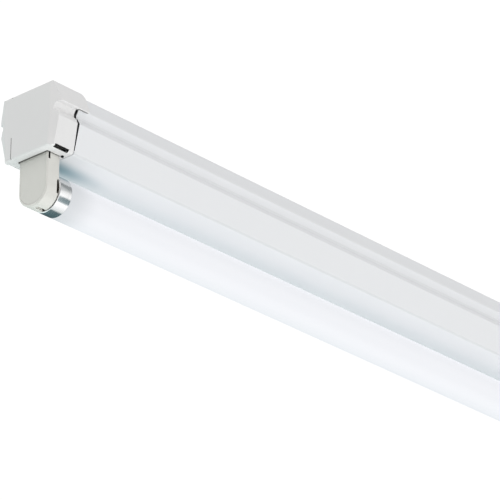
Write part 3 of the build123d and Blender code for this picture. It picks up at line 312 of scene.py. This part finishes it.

# %% [markdown]
# ## Painted shade on the end cap
# The slot along each lower side edge opens into the dark inside of the cap, the wing that laps over the
# spine shades the face under it, and the narrow groove in the end face lies in shade. Their walls could be
# cut off as pieces of their own, but a mask by place paints them nearly black as painted shade and leaves the
# solid whole.

# %% Slot, wing and groove
SLOT_OUTER = solid_high.x - 4.6 * MM
SLOT_INNER = solid_high.x - 16.6 * MM
SLOT_TOP = cover_low.z + 1.6 * MM
SLOT_SIDE = 19.3 * MM
WING_SHADE = 0.68
GROOVE_FLOOR = solid_high.x - 0.6 * MM
GROOVE_INNER = 13.35 * MM
GROOVE_OUTER = 13.85 * MM
GROOVE_SHADE = 0.75
FAR_AWAY = 1.0
wing_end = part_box("end_cap_far")[0].x
in_slot = cap_out.between(SLOT_INNER - SKIN, SLOT_OUTER + SKIN)
in_slot = in_slot * cap_side.size().between(SLOT_SIDE - SKIN, FAR_AWAY)
in_slot = in_slot * cap_height.between(-FAR_AWAY, SLOT_TOP + SKIN)
under_wing = cap_out.between(wing_end, SKIRT_END) * cap_height.between(JOINT_TOP - SKIN, JOINT_TOP + SKIN)
in_groove = cap_out.between(GROOVE_FLOOR - SKIN, solid_high.x - SKIN)
in_groove = in_groove * cap_side.between(GROOVE_INNER - SKIN, GROOVE_OUTER + SKIN)
# painted shade: near black in the slot, under the wing and in the groove
painted_shade_mask = in_slot.at_least(under_wing * WING_SHADE).at_least(in_groove * GROOVE_SHADE)
moulded.colour(moulded.mix(painted_shade_mask, moulded_colour, PAINTED_SHADE_BLACK))
print("end cap plastic now has", len(moulded.tree.nodes), "nodes")

# %% [markdown]
# ## Lampholder plastic
# The lampholders stand heat and lamp current, so they are a harder, slightly cream plastic with more gloss.
# The turning collar inside each one is a whiter plastic, and rubber and wire sleeves differ from these in
# colour, gloss and grain. So all of them use one helper, with a fine grain and a slow drift of shade.


# %% Plain plastics and rubber
SHADE_LUMP = 9 * MM


def moulding(slot, dark, light, roughness, lump, depth):
    """Plain moulded plastic: a slow drift of shade and a fine grain."""
    finish = Finish(slot, ior=1.5)
    slow = finish.grain(SHADE_LUMP, 2.0)
    fine = finish.grain(lump)
    colour = finish.mix(slow, dark, light)
    finish.surface(colour, roughness + fine * 0.08)
    finish.relief(fine, depth)
    return finish, colour


CREAM_DARK = (0.755, 0.747, 0.702)
CREAM_LIGHT = (0.789, 0.780, 0.736)
holder, cream = moulding("holder_plastic", CREAM_DARK, CREAM_LIGHT, 0.30, 0.5 * MM, 0.008 * MM)
moulding("rotor_plastic", (0.790, 0.790, 0.775), (0.820, 0.820, 0.805), 0.34, 0.5 * MM, 0.006 * MM)
moulding("terminal_plastic", (0.780, 0.780, 0.760), (0.830, 0.830, 0.815), 0.45, 0.4 * MM, 0.010 * MM)
moulding("lamp_disc_plastic", (0.036, 0.025, 0.017), (0.060, 0.042, 0.028), 0.62, 0.8 * MM, 0.040 * MM)
moulding("grommet_rubber", (0.012, 0.012, 0.012), (0.028, 0.028, 0.028), 0.66, 0.7 * MM, 0.020 * MM)
moulding("wire_white", (0.740, 0.740, 0.710), (0.790, 0.790, 0.765), 0.38, 1.2 * MM, 0.008 * MM)
moulding("wire_brown", (0.130, 0.058, 0.026), (0.170, 0.080, 0.036), 0.38, 1.2 * MM, 0.008 * MM)
moulding("wire_blue", (0.020, 0.095, 0.330), (0.032, 0.130, 0.410), 0.38, 1.2 * MM, 0.008 * MM)
print("plastics", sorted(finishes))

# %% [markdown]
# ## Painted shade on a lampholder
# A holder has two places of painted shade: the joint where it enters the end cap, and the narrow key slot in
# each of its sides. Both are masked by place and painted nearly black, as on the end cap.

# %% Holder joint and key slot
HOLDER_JOINT = cover_low.z - 0.15 * MM
JOINT_BLUR = 0.1 * MM
HOLDER_JOINT_SHADE = 0.6
KEY_OUTER = 305.3 * MM
KEY_INNER = 303.7 * MM
KEY_BOTTOM = -49.0 * MM
HOLDER_SIDE = 12.55 * MM
at_cap = holder.axis("Z").rise(HOLDER_JOINT - JOINT_BLUR, HOLDER_JOINT + JOINT_BLUR)
in_key = holder.axis("X").size().between(KEY_INNER - SKIN, KEY_OUTER + SKIN)
in_key = in_key * holder.axis("Y").size().between(0.0, HOLDER_SIDE - SKIN)
in_key = in_key * holder.axis("Z").between(KEY_BOTTOM - SKIN, FAR_AWAY)
# painted shade: near black at the joint with the end cap and in the key slot
holder.colour(holder.mix((at_cap * HOLDER_JOINT_SHADE).at_least(in_key), cream, PAINTED_SHADE_BLACK))
print("holder plastic with", len(holder.tree.nodes), "nodes")

# %% [markdown]
# ## Earth lead and circuit board
# An earth lead is green and yellow in two stripes, so that it is told apart at a glance. It lies in the
# light's middle plane, so the sign of y decides the stripe. The board is green lacquer over copper tracks,
# drawn by the borders of cells, and the parts under it take their colour from their place along the board.

# %% Wire stripes, tracks and parts
TURNS_PER_METRE = 9000
SLEEVE_END = -66 * MM
earth = Finish("wire_green")
stripe = earth.axis("Y").rise(-0.1 * MM, 0.1 * MM)
striped = earth.mix(stripe, (0.030, 0.240, 0.040), (0.720, 0.560, 0.030))
earth.surface(striped, 0.38 + earth.grain(1.2 * MM) * 0.06)

board = Finish("board_green")
track = board.cells(5 * MM).rise(0.55, 0.62)
lacquer = board.mix(track, (0.012, 0.085, 0.030), (0.030, 0.170, 0.060))
board.surface(lacquer, 0.30 + board.grain(2 * MM) * 0.1)
board.relief(track, 0.035 * MM)

parts = Finish("component_black")
along_board = parts.axis("X")
wound = (along_board * TURNS_PER_METRE).wave() * 0.5 + 0.5
sleeve = 1 - along_board.rise(SLEEVE_END - 1 * MM, SLEEVE_END)
windings = parts.mix(wound, (0.050, 0.026, 0.010), (0.230, 0.090, 0.025))
parts.surface(parts.mix(sleeve, windings, (0.018, 0.022, 0.060)), 0.42 + parts.grain(3 * MM) * 0.1)
parts.relief(wound * (1 - sleeve), 0.08 * MM)
print("inner finishes done")

# %% [markdown]
# ## Metals
# Rolled sheet, zinc plating, spring steel and brass differ in colour, in the size of their crystals and in
# the direction of their scratches. One helper takes those facts: a stretched noise for the drawn lines, and
# cloudy noise for the crystals.


# %% Metal finishes
LINE_WIDTH = 0.4 * MM
LINE_DEPTH = 0.004 * MM


def metal(slot, dark, light, roughness, crystal, stretch):
    """Metal with crystals of a given size and fine lines along its drawing direction."""
    finish = Finish(slot, metallic=1.0)
    lines = finish.grain(LINE_WIDTH, 1.0, stretch)
    patches = finish.grain(crystal, 3.0)
    finish.surface(finish.mix(patches, dark, light), roughness + lines * 0.10 + patches * 0.06)
    finish.relief(lines, LINE_DEPTH)


metal("zinc_steel", (0.520, 0.530, 0.545), (0.680, 0.690, 0.700), 0.30, 2.5 * MM, (0.1, 1.0, 1.0))
metal("black_steel", (0.012, 0.012, 0.013), (0.026, 0.026, 0.028), 0.38, 1.0 * MM, (1.0, 1.0, 0.2))
metal("spring_steel", (0.400, 0.410, 0.430), (0.500, 0.510, 0.530), 0.28, 4.0 * MM, (0.1, 1.0, 1.0))
metal("electrode_metal", (0.360, 0.360, 0.370), (0.440, 0.440, 0.450), 0.40, 1.0 * MM, (1.0, 0.2, 1.0))
metal("contact_bronze", (0.520, 0.300, 0.130), (0.640, 0.390, 0.180), 0.30, 1.5 * MM, (1.0, 1.0, 0.1))
metal("brass", (0.640, 0.470, 0.180), (0.740, 0.560, 0.240), 0.26, 1.5 * MM, (0.1, 1.0, 1.0))
print("finishes so far", len(finishes))

# %% [markdown]
# ## The lamp's aluminium caps
# A lamp cap is drawn from thin aluminium and spun, so its fine lines run round it: noise that changes
# quickly along the tube and hardly at all round it. Bright metal takes its look from the room, so its colour
# stays almost even and its gloss does the work.

# %% Spun aluminium
spun = Finish("lamp_cap_metal", metallic=1.0)
turned_lines = spun.grain(0.25 * MM, 2.0, (1.0, 0.02, 0.02))
smudge = spun.grain(5 * MM, 2.0)
aluminium = spun.mix(smudge, (0.690, 0.694, 0.698), (0.745, 0.748, 0.752))
spun.surface(aluminium, 0.13 + turned_lines * 0.08 + smudge * 0.05)
spun.relief(turned_lines, 0.003 * MM)
print("spun aluminium with", len(spun.tree.nodes), "nodes")

# %% [markdown]
# ## Glowing white glass
# The tube is clear glass with a white powder inside, and in the photo the lamp seems to be on: the tube is
# evenly white and the cover above it has a cool cast. The picture is exposed for the whole fitting, so the
# glow is only about as strong as the white paint. It fades towards the cathodes, where the powder also greys
# with use; both are smooth steps along the tube, and the greying is broken up by noise.

# %% White glass
GLOW = 0.643
TUBE_END = 284.0 * MM
DIM_LENGTH = 26.0 * MM
AGED_LENGTH = 34.0 * MM
FULL_SHINE = (0.926, 0.950, 1.0)
DIM_SHINE = (0.672, 0.705, 0.742)
glass = Finish("lamp_glass", ior=1.5, coat_weight=0.05, coat_roughness=0.15, emission_strength=GLOW)
powder = glass.grain(14 * MM, 3.0, (0.25, 1.0, 1.0))
from_middle = glass.axis("X").size()
ageing = from_middle.rise(TUBE_END - AGED_LENGTH, TUBE_END) * (0.55 + powder * 0.45)
white = glass.mix(powder, (0.275, 0.268, 0.270), (0.290, 0.280, 0.282))
glass.surface(glass.mix(ageing * 0.35, white, (0.200, 0.205, 0.210)), 0.46 + powder * 0.05)
dimming = from_middle.rise(TUBE_END - DIM_LENGTH, TUBE_END)
glass.feed(glass.shader.inputs["Emission Color"], glass.mix(dimming, FULL_SHINE, DIM_SHINE))
print("white glass with", len(glass.tree.nodes), "nodes")

# %% [markdown]
# ## Every solid gets its finish
# The record that comes with the solids says which slot of finish each node has, so no list of nodes has to
# be written here. A node's own mesh stays as it is, and only its material changes.

# %% Dress the solids
slots = {row["node"]: row["material_slot"] for row in frame["record"]["subparts"]}
for name, node in frame["nodes"].items():
    node.data.materials.clear()
    node.data.materials.append(finishes[slots[name]])
print("dressed", len(slots), "nodes in", len(set(slots.values())), "finishes")

# %% [markdown]
# ## Turned pieces by a rule
# The glass tube and the two metal caps are bodies of revolution: one outline, swept round the lamp's axis.
# They could be spun in mesh code, but a Geometry Nodes tree keeps the rule in sight: the outline is a row of
# points, a circle is the path, and Curve to Mesh joins them with as many segments as its input says. A
# solid's facets are coarse next to this, so these pieces stand in for the plain solids.

# %% A tree that turns an outline
cap_low, cap_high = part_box("lamp_cap_near")
LAMP_Z = (cap_low.z + cap_high.z) / 2
LAMP_RADIUS = (cap_high.z - cap_low.z) / 2
PATH_RADIUS = 1.0
SEAM = 0.001 * MM


def add_input(tree, name, kind):
    return tree.interface.new_socket(name, in_out="INPUT", socket_type=kind).identifier


def turning_tree():
    """Tree that sweeps the outline of its object round the lamp's axis."""
    tree = bpy.data.node_groups.new("turned outline", "GeometryNodeTree")
    add_input(tree, "Geometry", "NodeSocketGeometry")
    segments = add_input(tree, "Segments", "NodeSocketInt")
    level = add_input(tree, "Axis level", "NodeSocketFloat")
    finish = add_input(tree, "Finish", "NodeSocketMaterial")
    tree.interface.new_socket("Geometry", in_out="OUTPUT", socket_type="NodeSocketGeometry")
    grow = Recipe(tree)
    outline, count, lift, dress = (grow.node("NodeGroupInput", output=index) for index in range(4))
    profile = grow.node("GeometryNodeMeshToCurve", {}, {"Mesh": outline})
    path = grow.node("GeometryNodeCurvePrimitiveCircle", {}, {"Resolution": count, "Radius": PATH_RADIUS})
    skin = grow.node("GeometryNodeCurveToMesh", {}, {"Curve": path, "Profile Curve": profile})
    shift = grow.node("ShaderNodeCombineXYZ", {}, {"Z": lift})
    quarter_turn = (0.0, math.radians(90), 0.0)
    placing = {"Geometry": skin, "Translation": shift, "Rotation": quarter_turn}
    placed = grow.node("GeometryNodeTransform", {}, placing)
    whole = grow.node("GeometryNodeMergeByDistance", {}, {"Geometry": placed, "Distance": SEAM})
    real = grow.node("GeometryNodeRealizeInstances", {}, {"Geometry": whole})
    dressed = grow.node("GeometryNodeSetMaterial", {}, {"Geometry": real, "Material": dress})
    grow.node("NodeGroupOutput", {}, {"Geometry": dressed})
    return tree, {"segments": segments, "level": level, "finish": finish}


turner, turner_inputs = turning_tree()
print("turning tree has", len(turner.nodes), "nodes and inputs", sorted(turner_inputs))

# %% [markdown]
# ## From a tree to a plain piece
# A tree lives in a modifier, and the export wants plain meshes. So the evaluated result is copied to a new
# mesh, the modifier goes, and a last pass merges doubles, turns the faces outwards and shades them smooth up
# to the sharp edges.

# %% Make a plain mesh
DOUBLES = 0.0005 * MM
TURNED_SMOOTH = math.radians(35)


def plain_piece(name, source, smooth_angle):
    """Replace an object with a modifier by a plain mesh of its result."""
    graph = bpy.context.evaluated_depsgraph_get()
    mesh = bpy.data.meshes.new_from_object(source.evaluated_get(graph), depsgraph=graph)
    old = source.data
    source.modifiers.clear()
    bpy.data.objects.remove(source)
    bpy.data.meshes.remove(old)
    mesh.name = name
    shape = bmesh.new()
    shape.from_mesh(mesh)
    bmesh.ops.remove_doubles(shape, verts=shape.verts, dist=DOUBLES)
    bmesh.ops.recalc_face_normals(shape, faces=shape.faces)
    for face in shape.faces:
        face.smooth = True
    for edge in shape.edges:
        edge.smooth = not edge.is_manifold or edge.calc_face_angle() < smooth_angle
    shape.to_mesh(mesh)
    shape.free()
    piece = bpy.data.objects.new(name, mesh)
    bpy.context.scene.collection.objects.link(piece)
    return piece


def row_of_points(name, points, edges):
    """Object with bare points and edges for a tree to work on."""
    mesh = bpy.data.meshes.new(name)
    mesh.from_pydata(points, edges, [])
    source = bpy.data.objects.new(name, mesh)
    bpy.context.scene.collection.objects.link(source)
    return source


def turned_piece(name, points, closed, slot, segments):
    """Piece of revolution from (x, radius) points."""
    corners = [(radius - PATH_RADIUS, -x, 0.0) for x, radius in points]
    edges = [(i, i + 1) for i in range(len(corners) - 1)]
    if closed:
        edges.append((len(corners) - 1, 0))
    source = row_of_points(name + "_outline", corners, edges)
    modifier = source.modifiers.new("turned", "NODES")
    modifier.node_group = turner
    modifier[turner_inputs["segments"]] = segments
    modifier[turner_inputs["level"]] = LAMP_Z
    modifier[turner_inputs["finish"]] = finishes[slot]
    piece = plain_piece(name, source, TURNED_SMOOTH)
    low = min(v.co.x for v in piece.data.vertices)
    high = max(v.co.x for v in piece.data.vertices)
    print(name, len(piece.data.polygons), "faces from x", round(low / MM, 2), "to", round(high / MM, 2))
    return piece


print("turned pieces lie", round(-LAMP_Z / MM, 1), "mm below the ceiling")

# %% [markdown]
# ## The glass tube
# A real tube is drawn in just before it enters its cap, with a soft shoulder where the glass was heated.
# The solid has a plain cone there. A quarter wave between the neck and the full radius gives the shoulder,
# and the outline starts and ends on the axis, so the tube is closed.

# %% Glass tube
NECK_RADIUS = 12.4 * MM
NECK_ROUND = 0.4 * MM
SHOULDER_LENGTH = 0.4 * MM
SHOULDER_FULLNESS = 0.8
SHOULDER_STEPS = 10
STRAIGHT_END = 240 * MM
GLASS_SEGMENTS = 160
glass_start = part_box("lamp_glass")[0].x
half = [(glass_start, 0.0), (glass_start, NECK_RADIUS - NECK_ROUND), (glass_start + NECK_ROUND, NECK_RADIUS)]
for step in range(SHOULDER_STEPS + 1):
    share = step / SHOULDER_STEPS
    swell = math.sin(share * math.pi / 2) ** SHOULDER_FULLNESS
    half.append((cap_high.x + share * SHOULDER_LENGTH, NECK_RADIUS + swell * (LAMP_RADIUS - NECK_RADIUS)))
half.append((-STRAIGHT_END, LAMP_RADIUS))
tube_outline = half + [(-x, radius) for x, radius in reversed(half)]
glass_tube = turned_piece("glass_tube", tube_outline, False, "lamp_glass", GLASS_SEGMENTS)
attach(glass_tube, "lamp")
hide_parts("lamp_glass")

# %% [markdown]
# ## The metal caps
# Each cap is a thin drawn shell. Its open edge is broken by a tiny chamfer, its face turns in round the
# insulating disc, and a shallow bead runs round it where the cement grips. The outline is a closed loop, so
# the shell has its wall inside as well.

# %% Metal caps
CAP_WALL = 0.5 * MM
CAP_RIM = 1.0 * MM
CAP_EDGE = 0.7 * MM
BEAD_PLACE = 2.1 * MM
BEAD_HALF = 0.7 * MM
BEAD_DEPTH = 0.02 * MM
BEAD_STEPS = 4
ROUND_STEPS = 6
CHAMFER_LENGTH = 0.08 * MM
CHAMFER_DEPTH = 0.06 * MM
CAP_SEGMENTS = 128


def cap_outline():
    """Closed (depth, radius) loop of a cap's shell, from its face inwards."""
    inner_radius = LAMP_RADIUS - CAP_WALL
    rim_radius = LAMP_RADIUS - CAP_RIM
    length = cap_high.x - cap_low.x
    loop = [(0.0, rim_radius)]
    for step in range(ROUND_STEPS + 1):
        turn = step / ROUND_STEPS * math.pi / 2
        loop.append((CAP_EDGE * (1 - math.cos(turn)), LAMP_RADIUS - CAP_EDGE * (1 - math.sin(turn))))
    for step in range(-BEAD_STEPS, BEAD_STEPS + 1):
        share = step / BEAD_STEPS
        dip = BEAD_DEPTH * (0.5 + 0.5 * math.cos(share * math.pi))
        loop.append((length - BEAD_PLACE + share * BEAD_HALF, LAMP_RADIUS - dip))
    loop += [(length - CHAMFER_LENGTH, LAMP_RADIUS), (length, LAMP_RADIUS - CHAMFER_DEPTH)]
    loop += [(length, inner_radius), (CAP_WALL, inner_radius), (CAP_WALL, rim_radius)]
    return loop


for end, sign in (("near", -1), ("far", 1)):
    face = -sign * cap_low.x
    points = [(face - sign * depth, radius) for depth, radius in cap_outline()]
    metal_cap = turned_piece("metal_cap_" + end, points, True, "lamp_cap_metal", CAP_SEGMENTS)
    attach(metal_cap, "lamp")
    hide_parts("lamp_cap_" + end)

# %% [markdown]
# ## Weld marks on the spine
# The studs inside are welded to the spine, and each weld shows on the ceiling side as a low round swelling
# under the paint. They repeat, so a second tree puts one small dome on every point of a row of places.

# %% Weld marks
WELD_RADIUS = 3.2 * MM
WELD_HEIGHT = 0.15 * MM
WELD_LEVEL = -1.9 * MM
WELD_PLACES = (-130.5 * MM, 70.5 * MM, 86.0 * MM)
WELD_SMOOTH = math.radians(60)


def welding_tree():
    """Tree that sets a low dome on every point of its object."""
    tree = bpy.data.node_groups.new("weld marks", "GeometryNodeTree")
    add_input(tree, "Geometry", "NodeSocketGeometry")
    radius = add_input(tree, "Radius", "NodeSocketFloat")
    rise = add_input(tree, "Height", "NodeSocketFloat")
    finish = add_input(tree, "Finish", "NodeSocketMaterial")
    tree.interface.new_socket("Geometry", in_out="OUTPUT", socket_type="NodeSocketGeometry")
    grow = Recipe(tree)
    places, wide, high, dress = (grow.node("NodeGroupInput", output=index) for index in range(4))
    ball = grow.node("GeometryNodeMeshUVSphere", {}, {"Segments": 32, "Rings": 12, "Radius": 1.0})
    scale = grow.node("ShaderNodeCombineXYZ", {}, {"X": wide, "Y": wide, "Z": high})
    setting = {"Points": places, "Instance": ball, "Scale": scale}
    spots = grow.node("GeometryNodeInstanceOnPoints", {}, setting)
    real = grow.node("GeometryNodeRealizeInstances", {}, {"Geometry": spots})
    dressed = grow.node("GeometryNodeSetMaterial", {}, {"Geometry": real, "Material": dress})
    grow.node("NodeGroupOutput", {}, {"Geometry": dressed})
    return tree, (radius, rise, finish)


welder, welder_inputs = welding_tree()
weld_source = row_of_points("weld_places", [(x, 0.0, WELD_LEVEL) for x in WELD_PLACES], [])
weld_modifier = weld_source.modifiers.new("marks", "NODES")
weld_modifier.node_group = welder
for identifier, value in zip(welder_inputs, (WELD_RADIUS, WELD_HEIGHT, finishes["painted_steel"])):
    weld_modifier[identifier] = value
weld_marks = plain_piece("weld_marks", weld_source, WELD_SMOOTH)
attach(weld_marks, "fixture")
print("weld marks", len(weld_marks.data.polygons), "faces")

# %% [markdown]
# ## A white studio
# The light is photographed against white, between large soft lights. A few area lamps could do this, but a
# world that changes with direction does it without any lamp in view: each soft light is a lobe that fades out
# at right angles to its direction. The strongest stand above the near end, below the front and below the
# back, and those at the back are cool.

# %% Soft lights
world = bpy.data.worlds.new("studio")
bpy.context.scene.world = world
world.use_nodes = True
studio = Recipe(world.node_tree)
background = world.node_tree.nodes["Background"]
direction = studio.node("ShaderNodeTexCoord", output="Generated")


def towards(x, y, z):
    """How far the direction points the same way as a unit vector."""
    aim = Vector((x, y, z)).normalized()
    product = {"operation": "DOT_PRODUCT"}
    return studio.node("ShaderNodeVectorMath", product, {0: direction, 1: aim}, output="Value")


def soft_light(x, y, z):
    """Light from around one direction, gone at right angles to it."""
    facing = towards(x, y, z).at_least(0.0)
    return facing * facing * facing


SOFT_LIGHTS = {
    (-1, 0, 1): 1.59,
    (0, -1, -1): 1.31,
    (0, -1, 1): 0.33,
    (1, -1, -1): 0.75,
    (1, -1, 1): 0.29,
    (1, 0, 0): 0.95,
}
COOL_LIGHTS = {(0, 1, -1): 1.56, (0, 1, 0): 0.52}
COOL = (0.895, 1.0, 0.985)
plain = sum(soft_light(*aim) * strength for aim, strength in SOFT_LIGHTS.items())
cool = sum(soft_light(*aim) * strength for aim, strength in COOL_LIGHTS.items())
print("soft lights", len(SOFT_LIGHTS) + len(COOL_LIGHTS))

# %% [markdown]
# ## Flags and a card
# Bright metal shows nothing but its surroundings, and a studio puts dark flags and a white card round it for
# that. Here three flags and one card stand in a band of directions towards the far end, because the near
# lamp cap mirrors that band into the camera. Each flag takes away a share of the light, most of all of its
# red, and the camera itself sees plain white.

# %% Flags, card and background
FLAG_TINT = (1.0, 0.935, 0.915)
BEHIND_DEPTH = 0.91
FRONT_DEPTH = 0.84
ABOVE_DEPTH = 0.50
CARD_GLOW = 0.36
WHITE = 1.05
BAND_START = (0.40, 0.48)
BAND_END = (0.80, 0.88)
BEHIND_EDGE = (0.36, 0.44)
FRONT_EDGE = (0.30, 0.40)
STRIP_EDGE = (0.19, 0.27)
ABOVE_EDGE = (0.64, 0.69)
CARD_EDGE = (0.70, 0.76)
away = towards(1, 0, 0)
band = away.rise(*BAND_START) * (1 - away.rise(*BAND_END))
flag_behind = band * towards(0, 0.97, -0.26).rise(*BEHIND_EDGE)
off_strip = towards(0, 0.50, -0.87).size().rise(*STRIP_EDGE)
flag_front = band * towards(0, -0.87, -0.50).rise(*FRONT_EDGE) * (1 - off_strip)
flag_above = band * towards(0, -0.57, 0.82).rise(*ABOVE_EDGE)
card = band * towards(0, -0.97, 0.24).rise(*CARD_EDGE)
shade = flag_behind * BEHIND_DEPTH + flag_front * FRONT_DEPTH + flag_above * ABOVE_DEPTH
seen = studio.node("ShaderNodeLightPath", output="Is Camera Ray")
channels = {}
for name, cool_share, tint in zip(("Red", "Green", "Blue"), COOL, FLAG_TINT):
    lit = (plain + cool * cool_share) * (1 - shade * tint) + card * CARD_GLOW
    channels[name] = lit * (1 - seen) + seen * WHITE
studio.feed(background.inputs["Color"], studio.node("ShaderNodeCombineColor", {}, channels))
bpy.context.scene.view_settings.view_transform = "Standard"
print("studio world with", len(world.node_tree.nodes), "nodes")

# %% [markdown]
# ## Camera
# The picture looks up at the near end from the front, through a long lens, so that the edges of the body
# stay almost parallel. Two angles and a place fix the camera; it has no roll and no shift.

# %% Camera
AZIMUTH = math.radians(-47.89)
ELEVATION = math.radians(-25.08)
CAMERA_PLACE = (-1.66693, -1.41232, -1.02439)
LENS = 252.0
SENSOR = 36.0
level_reach = math.cos(ELEVATION)
back = Vector((math.sin(AZIMUTH) * level_reach, -math.cos(AZIMUTH) * level_reach, math.sin(ELEVATION)))
camera_data = bpy.data.cameras.new("camera")
camera_data.sensor_width = SENSOR
camera_data.lens = LENS
camera = bpy.data.objects.new("camera", camera_data)
camera.location = CAMERA_PLACE
camera.rotation_mode = "QUATERNION"
camera.rotation_quaternion = (-back).to_track_quat("-Z", "Y")
bpy.context.scene.collection.objects.link(camera)
bpy.context.scene.camera = camera
print("camera", round((camera.location - Vector((0, 0, LAMP_Z))).length, 2), "m from the middle of the lamp")

# %% [markdown]
# ## Bring the scene up to date
# The view layer is updated once more.

# %% Update
bpy.context.view_layer.update()
